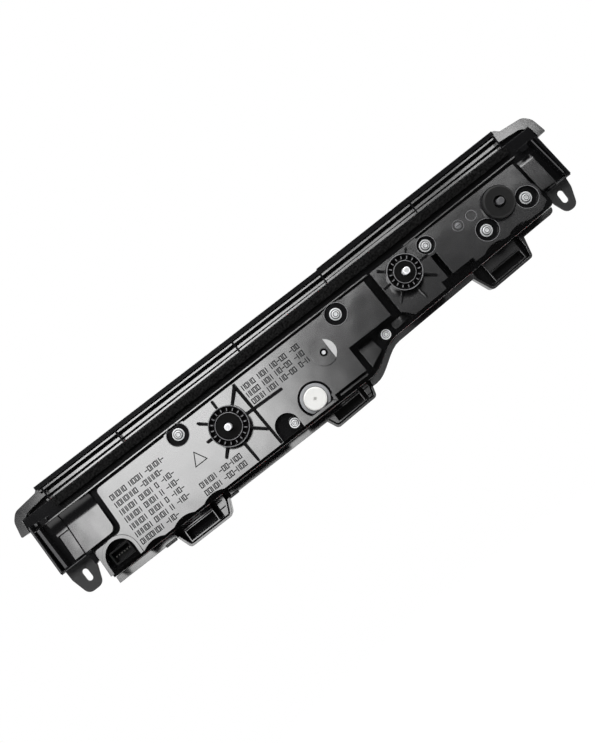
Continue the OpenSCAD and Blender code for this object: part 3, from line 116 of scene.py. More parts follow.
def laid(
    middle: Vector, along: float, up: float, width: float, lean: float = 0, overlap: float = 0
) -> Matrix:
    """Returns where a bar lies on a face of the lamp's rear.

    Args:
        middle: the bar's middle, in metres.
        along: how far the bar runs along the lamp.
        up: how far it runs up the face.
        width: its width.
        lean: how far the face leans, in radians.
        overlap: how much longer the bar is than its run.

    Returns:
        The matrix that takes the bar there.
    """
    face = Matrix.Rotation(math.pi / 2 - lean, 4, "X")
    turn = Matrix.Rotation(math.atan2(up, along), 4, "Z")
    size = Matrix.Diagonal((math.hypot(along, up) + overlap, width, 1, 1))
    return Matrix.Translation(middle) @ face @ turn @ size


def laid_on_plate(first: Place, last: Place, width: float, overlap: float = 0) -> Matrix:
    """Returns where a bar lies on the leaning plates, sunk a little so that no gap shows.

    Args:
        first: one end, along the lamp and up.
        last: its other end.
        width: its width.
        overlap: how much longer the bar is than the way between its ends.

    Returns:
        The matrix that takes the bar there.
    """
    middle = on_plate((first[0] + last[0]) / 2, (first[1] + last[1]) / 2, -Shop.bar_sunk)
    up = (last[1] - first[1]) / math.cos(PLATE_TILT)
    return laid(middle, last[0] - first[0], up, width, PLATE_TILT, overlap)


class Grain(Enum):
    """Depth of a moulded surface's grain, in millimetres."""

    SMOOTH = 0.004
    FINE = 0.02
    COARSE = 0.09


class NodeBench:
    """Puts shader nodes on a new material and links them."""

    def __init__(self, name: str) -> None:
        """Starts a material with an empty tree and a shader.

        Args:
            name: name of the material.
        """
        self.material = bpy.data.materials.new(name)
        self.material.use_nodes = True
        self.tree = self.material.node_tree
        self.tree.nodes.clear()
        self.output = self.tree.nodes.new("ShaderNodeOutputMaterial")
        self.shader = self.tree.nodes.new("ShaderNodeBsdfPrincipled")
        self.tree.links.new(self.shader.outputs["BSDF"], self.output.inputs["Surface"])
        self.place = self.tree.nodes.new("ShaderNodeTexCoord").outputs["Object"]

    def set(self, **values: object) -> None:
        """Sets the shader's own sockets.

        Args:
            values: socket names, with spaces written as underscores, and their values.
        """
        for key, value in values.items():
            if isinstance(value, tuple) and len(value) == 3:
                value = (*value, 1.0)
            self.shader.inputs[key.replace("_", " ")].default_value = value

    def noise(self, grain_mm: float, detail: float = 3.0, stretch: Spot = (1, 1, 1)) -> Socket:
        """Adds noise that lies still on the piece.

        Args:
            grain_mm: size of its grain.
            detail: octaves of finer noise.
            stretch: scale along each axis.

        Returns:
            The noise's value.
        """
        mapping = self.tree.nodes.new("ShaderNodeMapping")
        mapping.inputs["Scale"].default_value = tuple(stretch)
        self.tree.links.new(self.place, mapping.inputs["Vector"])
        node = self.tree.nodes.new("ShaderNodeTexNoise")
        node.inputs["Scale"].default_value = 1 / (grain_mm * MM)
        node.inputs["Detail"].default_value = detail
        self.tree.links.new(mapping.outputs["Vector"], node.inputs["Vector"])
        return node.outputs["Fac"]

    def cells(self, size_mm: float) -> Socket:
        """Adds rounded cells.

        Args:
            size_mm: distance between the cells.

        Returns:
            The distance to the nearest cell's middle.
        """
        node = self.tree.nodes.new("ShaderNodeTexVoronoi")
        node.inputs["Scale"].default_value = 1 / (size_mm * MM)
        self.tree.links.new(self.place, node.inputs["Vector"])
        return node.outputs["Distance"]

    def spread(self, value: Socket, low: float, high: float) -> Socket:
        """Maps a value from 0..1 to low..high.

        Args:
            value: socket to map.
            low: result at 0.
            high: result at 1.

        Returns:
            The mapped value.
        """
        node = self.tree.nodes.new("ShaderNodeMapRange")
        node.inputs["To Min"].default_value = low
        node.inputs["To Max"].default_value = high
        self.tree.links.new(value, node.inputs["Value"])
        return node.outputs["Result"]

    def blend(self, value: Socket, first: Colour, second: Colour) -> Socket:
        """Mixes two colours.

        Args:
            value: share of the second colour.
            first: colour at 0.
            second: colour at 1.

        Returns:
            The mixed colour.
        """
        node = self.tree.nodes.new("ShaderNodeMix")
        node.data_type = "RGBA"
        node.inputs["A"].default_value = (*first, 1)
        node.inputs["B"].default_value = (*second, 1)
        self.tree.links.new(value, node.inputs["Factor"])
        return node.outputs["Result"]

    def link(self, value: Socket, socket: str) -> None:
        """Links a value to one of the shader's sockets."""
        self.tree.links.new(value, self.shader.inputs[socket])

    def bump(self, height: Socket, depth_mm: float, under: Socket | None = None) -> Socket:
        """Adds relief to the shader's normal.

        Args:
            height: height of the relief, from 0 to 1.
            depth_mm: its depth.
            under: relief that lies under it.

        Returns:
            The normal.
        """
        node = self.tree.nodes.new("ShaderNodeBump")
        node.inputs["Strength"].default_value = 1
        node.inputs["Distance"].default_value = depth_mm * MM
        self.tree.links.new(height, node.inputs["Height"])
        if under:
            self.tree.links.new(under, node.inputs["Normal"])
        self.link(node.outputs["Normal"], "Normal")
        return node.outputs["Normal"]


@dataclass(frozen=True)
class Plastic:
    """Moulded plastic with a grain, faint sink marks and slightly uneven gloss."""

    name: str
    colour: Colour
    roughness: float = 0.3
    grain: Grain = Grain.FINE
    grain_mm: float = 0.5
    dust: float = 0.0
    sink_mm: float = 0.0
    shine: float = 0.5
    cloud_mm: float = 38
    sink_spacing_mm: float = 26
    dust_range: Place = (-0.5, 1.5)
    gloss_range: Place = (0.85, 1.15)

    def build(self) -> bpy.types.Material:
        """Builds the material."""
        bench = NodeBench(self.name)
        wide = bench.noise(self.cloud_mm, 2)
        fine = bench.noise(self.grain_mm, 2)
        dusty = tuple(c + self.dust for c in self.colour)
        bench.set(Specular_IOR_Level=self.shine)
        bench.link(bench.blend(bench.spread(wide, *self.dust_range), self.colour, dusty), "Base Color")
        low, high = (share * self.roughness for share in self.gloss_range)
        bench.link(bench.spread(wide, low, high), "Roughness")
        under = bench.bump(bench.noise(self.sink_spacing_mm, 1), self.sink_mm) if self.sink_mm else None
        bench.bump(fine, self.grain.value, under)
        return bench.material


@dataclass(frozen=True)
class Metal:
    """Plated steel, contacts or aluminium."""

    name: str
    colour: Colour
    roughness: float = 0.28
    metallic: float = 1.0
    cloud_mm: float = 2.5
    scratch_mm: float = 0.35
    scratch_depth_mm: float = 0.006
    cloud_share: float = 0.82
    brighter: float = 0.08
    duller: float = 0.12

    def build(self) -> bpy.types.Material:
        """Builds the material."""
        bench = NodeBench(self.name)
        cloud = bench.noise(self.cloud_mm, 4)
        bench.set(Metallic=self.metallic)
        clouded = tuple(self.cloud_share * c for c in self.colour)
        bench.link(bench.blend(cloud, self.colour, clouded), "Base Color")
        low, high = self.roughness - self.brighter, self.roughness + self.duller
        bench.link(bench.spread(cloud, low, high), "Roughness")
        bench.bump(bench.noise(self.scratch_mm, 3), self.scratch_depth_mm)
        return bench.material


@dataclass(frozen=True)
class CellFoam:
    """Closed-cell foam with open skin."""

    name: str
    colour: Colour
    cell_mm: float = 0.9
    cell_depth_mm: float = 0.35
    wear_mm: float = 1.7
    lump_mm: float = 2.4
    lump_depth_mm: float = 0.7
    worn_gain: float = 5
    patch_range: Place = (-1.2, 2.2)

    def build(self) -> bpy.types.Material:
        """Builds the material."""
        bench = NodeBench(self.name)
        bench.set(Roughness=0.95, Specular_IOR_Level=0.02)
        cell = bench.cells(self.cell_mm)
        worn = tuple(c * self.worn_gain for c in self.colour)
        patches = bench.spread(bench.noise(self.wear_mm, 4), *self.patch_range)
        bench.link(bench.blend(patches, self.colour, worn), "Base Color")
        under = bench.bump(bench.noise(self.lump_mm, 5), self.lump_depth_mm)
        bench.bump(cell, self.cell_depth_mm, under)
        return bench.material


@dataclass(frozen=True)
class Resin:
    """Transparent moulded resin."""

    name: str
    colour: Colour
    roughness: float = 0.02
    refraction: float = 1.49
    tint_mm: float = 60
    haze_mm: float = 20
    haze: float = 0.02
    deeper_share: float = 0.92

    def build(self) -> bpy.types.Material:
        """Builds the material."""
        bench = NodeBench(self.name)
        bench.set(Transmission_Weight=1.0, IOR=self.refraction)
        deeper = tuple(self.deeper_share * c for c in self.colour)
        bench.link(bench.blend(bench.noise(self.tint_mm, 1), self.colour, deeper), "Base Color")
        hazy = bench.spread(bench.noise(self.haze_mm, 2), self.roughness, self.roughness + self.haze)
        bench.link(hazy, "Roughness")
        return bench.material


@dataclass(frozen=True)
class Board:
    """Circuit board under white solder mask, with tracks faintly raised."""

    name: str
    colour: Colour
    track_mm: float = 5
    track_height_mm: float = 0.05
    darker_share: float = 0.86

    def build(self) -> bpy.types.Material:
        """Builds the material."""
        bench = NodeBench(self.name)
        bench.set(Roughness=0.45)
        tracks = bench.noise(self.track_mm, 0, (0.25, 1, 1))
        darker = tuple(self.darker_share * c for c in self.colour)
        bench.link(bench.blend(bench.spread(tracks, -1, 2), self.colour, darker), "Base Color")
        bench.bump(tracks, self.track_height_mm)
        return bench.material


Finish = Plastic | Metal | CellFoam | Resin | Board

HOUSING_BLACK = Plastic(
    "housing_black_plastic", (0.0045, 0.0045, 0.005), 0.16, Grain.SMOOTH,
    grain_mm=0.8, dust=0.002, sink_mm=0.3
)
BEZEL_BLACK = Plastic(
    "bezel_black_plastic", (0.0045, 0.0045, 0.005), 0.13, Grain.SMOOTH, grain_mm=0.8, dust=0.002, sink_mm=0.05
)
COVER_BLACK = Plastic(
    "cover_black_plastic", (0.006, 0.006, 0.0065), 0.17, Grain.SMOOTH, grain_mm=0.7, dust=0.002, sink_mm=0.06
)
EAR_BLACK = Plastic("ear_black_plastic", (0.016, 0.016, 0.0165), 0.5, Grain.COARSE, grain_mm=0.4, dust=0.006)
# Also dresses the dark strip in the plate's groove, where it is painted shade
SEAL_RUBBER_AND_DIVIDER_SHADE = Plastic(
    "seal_rubber", (0.0035, 0.0035, 0.0035), 0.6, Grain.COARSE, grain_mm=0.6, dust=0.002, shine=0.04
)
GROMMET_RUBBER = Plastic(
    "grommet_rubber", (0.007, 0.007, 0.007), 0.45, Grain.COARSE, grain_mm=0.6, dust=0.003, shine=0.2
)
DIAL_GREY = Plastic("dial_grey_plastic", (0.10, 0.10, 0.105), 0.35, dust=0.01)
MARK_BLACK = Plastic("mark_black_plastic", (0.010, 0.010, 0.011), 0.6, dust=0.004, shine=0.1)
# Grey, lighter than the black housing it stands on: painted highlight on the rims, the webs and a dial ring
RIM_HIGHLIGHT_GREY = Plastic("rim_painted_highlight_plastic", (0.14, 0.14, 0.145), 0.35, dust=0.01)
# Grey, lighter than the black housing: painted highlight on the end rails
RAIL_HIGHLIGHT_GREY = Plastic("rail_painted_highlight_plastic", (0.05, 0.05, 0.052), 0.4, dust=0.01)
SOCKET_BLACK = Plastic("socket_black_plastic", (0.005, 0.005, 0.005), 0.4, dust=0.002, shine=0.2)
BEAD_BLACK = Plastic("bead_sealant", (0.01, 0.01, 0.01), 0.5, Grain.COARSE, grain_mm=1.2)
VENT_WHITE = Plastic("vent_white_plastic", (0.64, 0.64, 0.625), 0.4, grain_mm=0.4)
COLLAR_GREY = Plastic("collar_grey_plastic", (0.28, 0.285, 0.295), 0.3, grain_mm=0.4)
CARRIER_WHITE = Plastic("carrier_white_plastic", (0.78, 0.78, 0.76), 0.35, grain_mm=0.6)
PACKAGE_CREAM = Plastic("package_cream", (0.80, 0.72, 0.36), 0.4, grain_mm=0.3)
ZINC = Metal("zinc_plated_steel", (0.84, 0.85, 0.86), 0.5, 0.3)
BRIGHT_ZINC = Metal("bright_zinc_plating", (0.90, 0.91, 0.93), 0.3, 0.6)
# The right stud's own dark steel, and also the dark rings in the screws' grooves, where it is painted shade
DULL_STEEL_AND_GROOVE_SHADE = Metal("dull_grey_steel_and_groove_shade", (0.10, 0.10, 0.105), 0.45, 0.4)
CONTACT = Metal("contact_plating", (0.12, 0.12, 0.11), 0.4, 0.5)
SINK_METAL = Metal("sink_aluminium", (0.80, 0.81, 0.83), 0.35)
STRIP_FOAM = CellFoam("strip_foam", (0.0025, 0.0025, 0.0025))
LENS_RED = Resin("lens_red_resin", (0.62, 0.008, 0.012))
LENS_CLEAR = Resin("lens_clear_resin", (0.95, 0.96, 0.97))
FLUTE_RED = Resin("flute_red_resin", (0.80, 0.05, 0.05), 0.05)
FLUTE_CLEAR = Resin("flute_clear_resin", (0.93, 0.95, 0.96), 0.05)
MASK_WHITE = Board("mask_white_board", (0.82, 0.82, 0.80))


class Shop:
    """Modelling steps that several sub-assemblies share."""

    finishes: dict[str, bpy.types.Material] = {}
    # Points closer than these become one, in a copied mesh and in a turned one
    merged: float = 0.002
    seam: float = 0.001
    # Edges that turn by more are rounded, and edges that turn by less are shaded as smooth
    rounded_turn: float = math.radians(30)
    smooth_turn: float = math.radians(31)
    turned_smooth_turn: float = math.radians(35)
    flat_turn: float = math.radians(1)
    bar_height: float = 0.14
    bar_sunk: float = 0.02

    @classmethod
    def dress(cls, piece: bpy.types.Object, finish: Finish) -> None:
        """Gives a piece its finish, building each material once.

        Args:
            piece: object to dress.
            finish: the finish.
        """
        if finish.name not in cls.finishes:
            cls.finishes[finish.name] = finish.build()
        piece.data.materials.clear()
        piece.data.materials.append(cls.finishes[finish.name])

    @staticmethod
    def alone(piece: bpy.types.Object) -> None:
        """Selects one object and makes it active."""
        bpy.ops.object.select_all(action="DESELECT")
        piece.select_set(True)
        bpy.context.view_layer.objects.active = piece

    @staticmethod
    def cad(node: str) -> bpy.types.Object:
        """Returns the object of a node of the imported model."""
        return FRAME["nodes"][node]

    @classmethod
    def copied(cls, node: str, name: str, clean: bool = False) -> bpy.types.Object:
        """Copies a node's mesh and joins its loose triangles.

        Args:
            node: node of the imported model.
            name: name of the copy.
            clean: whether flat faces are drawn with as few triangles as they need.

        Returns:
            The copy.
        """
        cls.alone(cls.cad(node))
        bpy.ops.object.duplicate()
        piece = bpy.context.view_layer.objects.active
        piece.name = name
        for key in [k for k in piece.keys() if k.startswith("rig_")]:
            del piece[key]
        bpy.ops.object.mode_set(mode="EDIT")
        bpy.ops.mesh.select_all(action="SELECT")
        bpy.ops.mesh.remove_doubles(threshold=cls.merged * MM)
        if clean:
            bpy.ops.mesh.dissolve_limited(angle_limit=cls.flat_turn)
            bpy.ops.mesh.quads_convert_to_tris(quad_method="BEAUTY", ngon_method="BEAUTY")
        bpy.ops.object.mode_set(mode="OBJECT")
        return piece

    @classmethod
    def soften(cls, node: str, edge_mm: float) -> bpy.types.Object:
        """Copies a node's mesh and rounds its sharp edges.

        Args:
            node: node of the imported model, which the copy stands for.
            edge_mm: width of the rounding.

        Returns:
            The softened copy.
        """
        piece = cls.copied(node, f"{node}_moulding", clean=True)
        rounding = piece.modifiers.new("rounding", "BEVEL")
        rounding.width = edge_mm * MM
        rounding.segments = 2
        rounding.limit_method = "ANGLE"
        rounding.angle_limit = cls.rounded_turn
        rounding.use_clamp_overlap = False
        rounding.miter_outer = "MITER_ARC"
        bpy.ops.object.modifier_apply(modifier=rounding.name)
        bpy.ops.object.shade_smooth_by_angle(angle=cls.smooth_turn)
        shading = piece.modifiers.new("shading", "WEIGHTED_NORMAL")
        shading.mode = "FACE_AREA"
        shading.weight = 100
        shading.keep_sharp = True
        bpy.ops.object.modifier_apply(modifier=shading.name)
        cls.even(piece)
        return piece

    @staticmethod
    def even(piece: bpy.types.Object, exact: float = 0.99999, astray: float = 0.5) -> None:
        """Shades the plates and the faces square to the rear as flat, and sets stray normals right.

        Args:
            piece: softened piece.
            exact: how well a face's normal agrees with a flat face's.
            astray: a corner's normal that agrees less than this with its face's is replaced.
        """
        normals = [Vector(corner.vector) for corner in piece.data.corner_normals]
        for face in piece.data.polygons:
            flat = max(face.normal.dot(PLATE_NORMAL), face.normal.dot(REARWARD)) > exact
            for corner in face.loop_indices:
                if flat or normals[corner].dot(face.normal) < astray:
                    normals[corner] = face.normal.copy()
        piece.data.normals_split_custom_set(normals)

    @classmethod
    def turned(cls, name: str, centre: Vector, profile: Sequence[Place], sides: int = 48, ring: bool = False,
               axis: Vector = REARWARD) -> bpy.types.Object:
        """Shapes a piece around an axis, as on a lathe.

        Args:
            name: name of the piece.
            centre: point that the profile is measured from.
            profile: radius and height of each step, in millimetres.
            sides: faces around the axis.
            ring: whether the last step meets the first one, so that the middle stays open.
            axis: direction that heights are measured in.

        Returns:
            The piece, with its place in its mesh.
        """
        bpy.ops.object.select_all(action="DESELECT")
        bpy.ops.mesh.primitive_circle_add(
            vertices=sides, radius=profile[0][0] * MM, fill_type="NOTHING" if ring else "NGON",
            location=centre + axis * (profile[0][1] * MM), rotation=axis.to_track_quat("Z", "Y").to_euler()
        )
        piece = bpy.context.view_layer.objects.active
        piece.name = name
        bpy.ops.object.transform_apply()
        bpy.ops.object.mode_set(mode="EDIT")
        bpy.ops.mesh.select_all(action="SELECT")
        steps = [*profile, profile[0]] if ring else list(profile)
        for (radius, height), (new_radius, new_height) in zip(steps, steps[1:]):
            move = axis * ((new_height - height) * MM)
            bpy.ops.mesh.extrude_region_move(TRANSFORM_OT_translate={"value": move})
            middle = centre + axis * (new_height * MM)
            bpy.ops.transform.resize(value=(new_radius / radius,) * 3, center_override=middle)
        bpy.ops.mesh.select_all(action="SELECT")
        bpy.ops.mesh.remove_doubles(threshold=cls.seam * MM)
        bpy.ops.mesh.normals_make_consistent(inside=False)
        bpy.ops.object.mode_set(mode="OBJECT")
        bpy.ops.object.shade_smooth_by_angle(angle=cls.turned_smooth_turn)
        return piece

    @classmethod
    def bar(cls) -> bpy.types.Object:
        """Models a bar one millimetre long and wide, with bevelled sides."""
        bpy.ops.object.select_all(action="DESELECT")
        bpy.ops.mesh.primitive_plane_add(size=MM)
        bar = bpy.context.view_layer.objects.active
        bpy.ops.object.mode_set(mode="EDIT")
        bpy.ops.mesh.extrude_region_move(TRANSFORM_OT_translate={"value": (0, 0, cls.bar_height * MM)})
        bpy.ops.transform.resize(value=(0.96, 0.7, 1), center_override=(0, 0, 0))
        bpy.ops.mesh.select_all(action="SELECT")
        bpy.ops.mesh.normals_make_consistent(inside=False)
        bpy.ops.object.mode_set(mode="OBJECT")
        return bar

    @classmethod
    def bars(cls, name: str, places: Sequence[Matrix]) -> bpy.types.Object:
        """Makes one piece of a bar at each place."""
        return cls.joined(name, cls.repeated(cls.bar(), places))

    @staticmethod
    def joined(name: str, pieces: Sequence[bpy.types.Object]) -> bpy.types.Object:
        """Joins pieces into one, with its place in its mesh.

        Args:
            name: name of the joined piece.
            pieces: pieces to join.

        Returns:
            The joined piece.
        """
        bpy.ops.object.select_all(action="DESELECT")
        for piece in pieces:
            piece.select_set(True)
        bpy.context.view_layer.objects.active = pieces[0]
        bpy.ops.object.join()
        bpy.ops.object.transform_apply()
        whole = bpy.context.view_layer.objects.active
        whole.name = name
        return whole

    @staticmethod
    def repeated(model: bpy.types.Object, places: Sequence[Matrix]) -> list[bpy.types.Object]:
        """Copies a model to each place, each copy with its own mesh, and removes the model.

        Args:
            model: piece modelled at the origin.
            places: where the copies go.

        Returns:
            The copies.
        """
        copies = []
        for place in places:
            copy = model.copy()
            copy.data = model.data.copy()
            bpy.context.scene.collection.objects.link(copy)
            copy.matrix_world = place
            copies.append(copy)
        bpy.data.objects.remove(model)
        return copies

    @staticmethod
    def seat(piece: bpy.types.Object, slot: str, *nodes: str) -> None:
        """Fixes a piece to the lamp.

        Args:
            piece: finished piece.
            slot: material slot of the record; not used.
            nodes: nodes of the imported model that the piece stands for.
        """
        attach(piece, "root")
        if nodes:
            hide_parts(*nodes)
        LOG.info("%s: %d faces", piece.name, len(piece.data.polygons))


@dataclass
class Mouldings:
    """Mouldings and seals of the lamp: the solids with their edges rounded."""

    rows: Sequence[tuple[str, float, Plastic, str]] = (
        ("housing", 0.16, HOUSING_BLACK, "housing_black"),
        ("bezel", 0.3, BEZEL_BLACK, "bezel_black"),
        ("lower_cover", 0.3, COVER_BLACK, "cover_black"),
        ("end_ear_left", 0.4, EAR_BLACK, "ear_black"),
        ("end_ear_right", 0.4, EAR_BLACK, "ear_black"),
        ("stud_seal_left", 0.3, SEAL_RUBBER_AND_DIVIDER_SHADE, "seal_rubber"),
        ("stud_seal_mid", 0.3, SEAL_RUBBER_AND_DIVIDER_SHADE, "seal_rubber"),
        ("stud_grommet", 0.5, GROMMET_RUBBER, "seal_rubber"),
        ("vent_cap", 0.4, VENT_WHITE, "vent_white"),
        ("vent_collar", 0.5, COLLAR_GREY, "collar_grey"),
        ("connector_header", 0.2, SOCKET_BLACK, "connector_black"),
    )

    def build(self) -> None:
        """Rounds and dresses each moulding."""
        for node, edge, finish, slot in self.rows:
            piece = Shop.soften(node, edge)
            Shop.dress(piece, finish)
            Shop.seat(piece, slot, node)


@dataclass
class CarriedOver:
    """Solids whose shape is right as packed: they only get a finish."""

    rows: Sequence[tuple[str, Finish]] = (
        ("lens_bead", BEAD_BLACK),
        ("outer_lens", LENS_RED),
        ("reverse_window", LENS_CLEAR),
        ("locating_pin", ZINC),
        ("connector_pins", CONTACT),
        ("inner_bracket", CARRIER_WHITE),
        ("inner_lens_tail", FLUTE_RED),
        ("inner_lens_left", FLUTE_RED),
        ("inner_lens_right", FLUTE_RED),
        ("inner_lens_reverse", FLUTE_CLEAR),
        ("tail_board", MASK_WHITE),
        ("stop_board", MASK_WHITE),
        ("reverse_board", MASK_WHITE),
        ("tail_leds", PACKAGE_CREAM),
        ("stop_leds", PACKAGE_CREAM),
        ("reverse_leds", PACKAGE_CREAM),
        ("heat_sink", SINK_METAL),
    )

    def build(self) -> None:
        """Dresses each solid."""
        for node, finish in self.rows:
            Shop.dress(Shop.cad(node), finish)
            LOG.info("%s: dressed", node)


@dataclass(frozen=True)
class Well:
    """Well of a large screw in the leaning plates."""

    x: float
    z: float
    seat_y: float
    mouth: float = 10.5


WELLS: Sequence[Well] = (
    Well(-41.7, 21.7, 23.1),
    Well(134.2, 20.3, 22.8),
    Well(234.45, 19.4, 22.6, 8.6),
    Well(284.8, -3.3, 17.8),
    Well(329.9, -1.8, 18.1),
)


@dataclass
class Screws:
    """Flanged screws with a rounded head and a cross recess, with dark rings in their grooves as painted
    shade.
    """

    large_flange: float = 5.6
    small_flange: float = 4.6
    small_seats: Sequence[Spot] = ((46.7, 10.3, -33.1), (158.9, 26.0, -21.4))
    first_turn: float = 25
    next_turn: float = 37
    # Radius as a share of the flange's, and height above the seat
    outline: Sequence[Place] = (
        (1.0, 0), (1.0, 0.7), (0.94, 1.0), (0.82, 1.0), (0.77, 0.05), (0.64, 0.05), (0.63, 2.4),
        (0.58, 3.0), (0.52, 3.2), (0.47, 3.2), (0.45, 2.3), (0.34, 2.3), (0.31, 3.1), (0.05, 3.1)
    )
    # Dark rings in the screw's two grooves, painted shade: inner and outer share of the radius, low and high
    groove_shades: Sequence[tuple[str, float, float, float, float]] = (
        ("flange", 0.635, 0.775, 0.02, 0.3), ("head", 0.335, 0.455, 2.25, 2.6)
    )
    recess_height: float = 2.9
    recess_length: float = 0.5
    recess_width: float = 0.9
    recess_depth: float = 2

    def build(self) -> None:
        """Models one screw of each size and copies it to its seats."""
        large_seats = [(well.x, well.seat_y, well.z) for well in WELLS]
        self.row("flange_screws", self.large_flange, large_seats)
        self.row("small_screws", self.small_flange, self.small_seats)

    def row(self, node: str, flange: float, seats: Sequence[Spot]) -> None:
        """Puts screws of one size, each turned differently, on their seats.

        Args:
            node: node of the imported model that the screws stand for.
            flange: radius of the flange.
            seats: where the flanges lie.
        """
        turns = [
            Matrix.Translation(at(*seat))
            @ Matrix.Rotation(math.radians(self.first_turn + self.next_turn * k), 4, "Y")
            for k, seat in enumerate(seats)
        ]
        screws = Shop.joined(f"{node}_heads", Shop.repeated(self.screw(flange), turns))
        Shop.dress(screws, ZINC)
        Shop.seat(screws, "steel", node)
        for part, inner, outer, low, high in self.groove_shades:
            near, far = flange * inner, flange * outer
            section = [(near, low), (near, high), (far, high), (far, low)]
            ring = Shop.turned("groove", Vector(), section, 40, True)
            rings = Shop.joined(f"{node}_{part}_grooves", Shop.repeated(ring, turns))
            # The dark rings in the grooves are painted shade
            Shop.dress(rings, DULL_STEEL_AND_GROOVE_SHADE)
            Shop.seat(rings, "steel")

    def screw(self, flange: float) -> bpy.types.Object:
        """Models a screw whose flange lies on the origin.

        Args:
            flange: radius of the flange.

        Returns:
            The screw.
        """
        screw = Shop.turned("screw", Vector(), [(flange * r, h) for r, h in self.outline], 40)
        middle = at(0, -self.recess_height, 0)
        for angle in (0, 90):
            bpy.ops.object.select_all(action="DESELECT")
            bpy.ops.mesh.primitive_cube_add(size=MM, location=middle)
            cutter = bpy.context.view_layer.objects.active
            bpy.ops.object.mode_set(mode="EDIT")
            size = (self.recess_length * flange, self.recess_depth, self.recess_width)
            bpy.ops.transform.resize(value=size, center_override=middle)
            bpy.ops.transform.rotate(value=math.radians(angle), orient_axis="Y", center_override=(0, 0, 0))
            bpy.ops.object.mode_set(mode="OBJECT")
            Shop.alone(screw)
            recess = screw.modifiers.new("recess", "BOOLEAN")
            recess.object = cutter
            bpy.ops.object.modifier_apply(modifier=recess.name)
            bpy.data.objects.remove(cutter)
        bpy.ops.object.shade_smooth_by_angle(angle=Shop.turned_smooth_turn)
        return screw


@dataclass
class Studs:
    """Mounting studs with a cut thread."""

    pitch: float = 1.0
    radius: float = 3.0
    depth: float = 0.45
    chamfer: float = 0.7
    root: float = 9
    rings_per_turn: int = 8
    run_in: float = 0.2
    run_out: float = 0.1
    rows: Sequence[tuple[str, Place, float, float]] = (
        ("stud_left", LEFT_STUD, 0, 13), ("stud_mid", MID_STUD, 0, 13), ("stud_right", RIGHT_STUD, 6.25, 6)
    )

    def build(self) -> None:
        """Cuts and dresses each stud."""
        for node, (x, z), y, reach in self.rows:
            rings = round(reach / self.pitch * self.rings_per_turn)
            thread = [(self.radius, k * reach / rings) for k in range(rings + 1)]
            profile = [(self.radius, -self.root), *thread, (self.radius - self.chamfer, reach + self.chamfer)]
            centre = at(x, y, z)
            stud = Shop.turned(f"{node}_rod", centre, profile, 32)
            self.cut(stud, centre, reach)
            Shop.dress(stud, DULL_STEEL_AND_GROOVE_SHADE if node == "stud_right" else BRIGHT_ZINC)
            Shop.seat(stud, "steel", node)

    def cut(self, stud: bpy.types.Object, centre: Vector, reach: float) -> None:
        """Presses a helical groove into the rod.

        Args:
            stud: rod to cut.
            centre: point on its axis where the thread starts.
            reach: length of the thread.
        """
        for vertex in stud.data.vertices:
            out = (vertex.co - centre) / MM
            if self.run_in < -out.y < reach - self.run_out:
                turn = math.atan2(out.z, out.x) / math.tau
                groove = abs(((-out.y / self.pitch - turn) % 1) * 2 - 1)
                share = 1 - self.depth / self.radius * groove
                vertex.co = centre + Vector((out.x * share, out.y, out.z * share)) * MM


@dataclass
class FoamStrip:
    """Foam along the top of the housing, with open cells in its skin."""

    cell_mm: float = 0.9
    worn_mm: float = 1.1
    grain_mm: float = 2.2

    def build(self) -> None:
        """Roughens a copy of the solid, inwards only."""
        strip = Shop.copied("foam_seal", "foam_strip")
        cells = strip.modifiers.new("cells", "REMESH")
        cells.mode = "VOXEL"
        cells.voxel_size = self.cell_mm * MM
        bpy.ops.object.modifier_apply(modifier=cells.name)
        clouds = bpy.data.textures.new("foam_clouds", "CLOUDS")
        clouds.noise_scale = self.grain_mm * MM
        wear = strip.modifiers.new("wear", "DISPLACE")
        wear.texture = clouds
        wear.mid_level = 0
        wear.strength = -self.worn_mm * MM
        bpy.ops.object.modifier_apply(modifier=wear.name)
        Shop.dress(strip, STRIP_FOAM)
        Shop.seat(strip, "foam", "foam_seal")


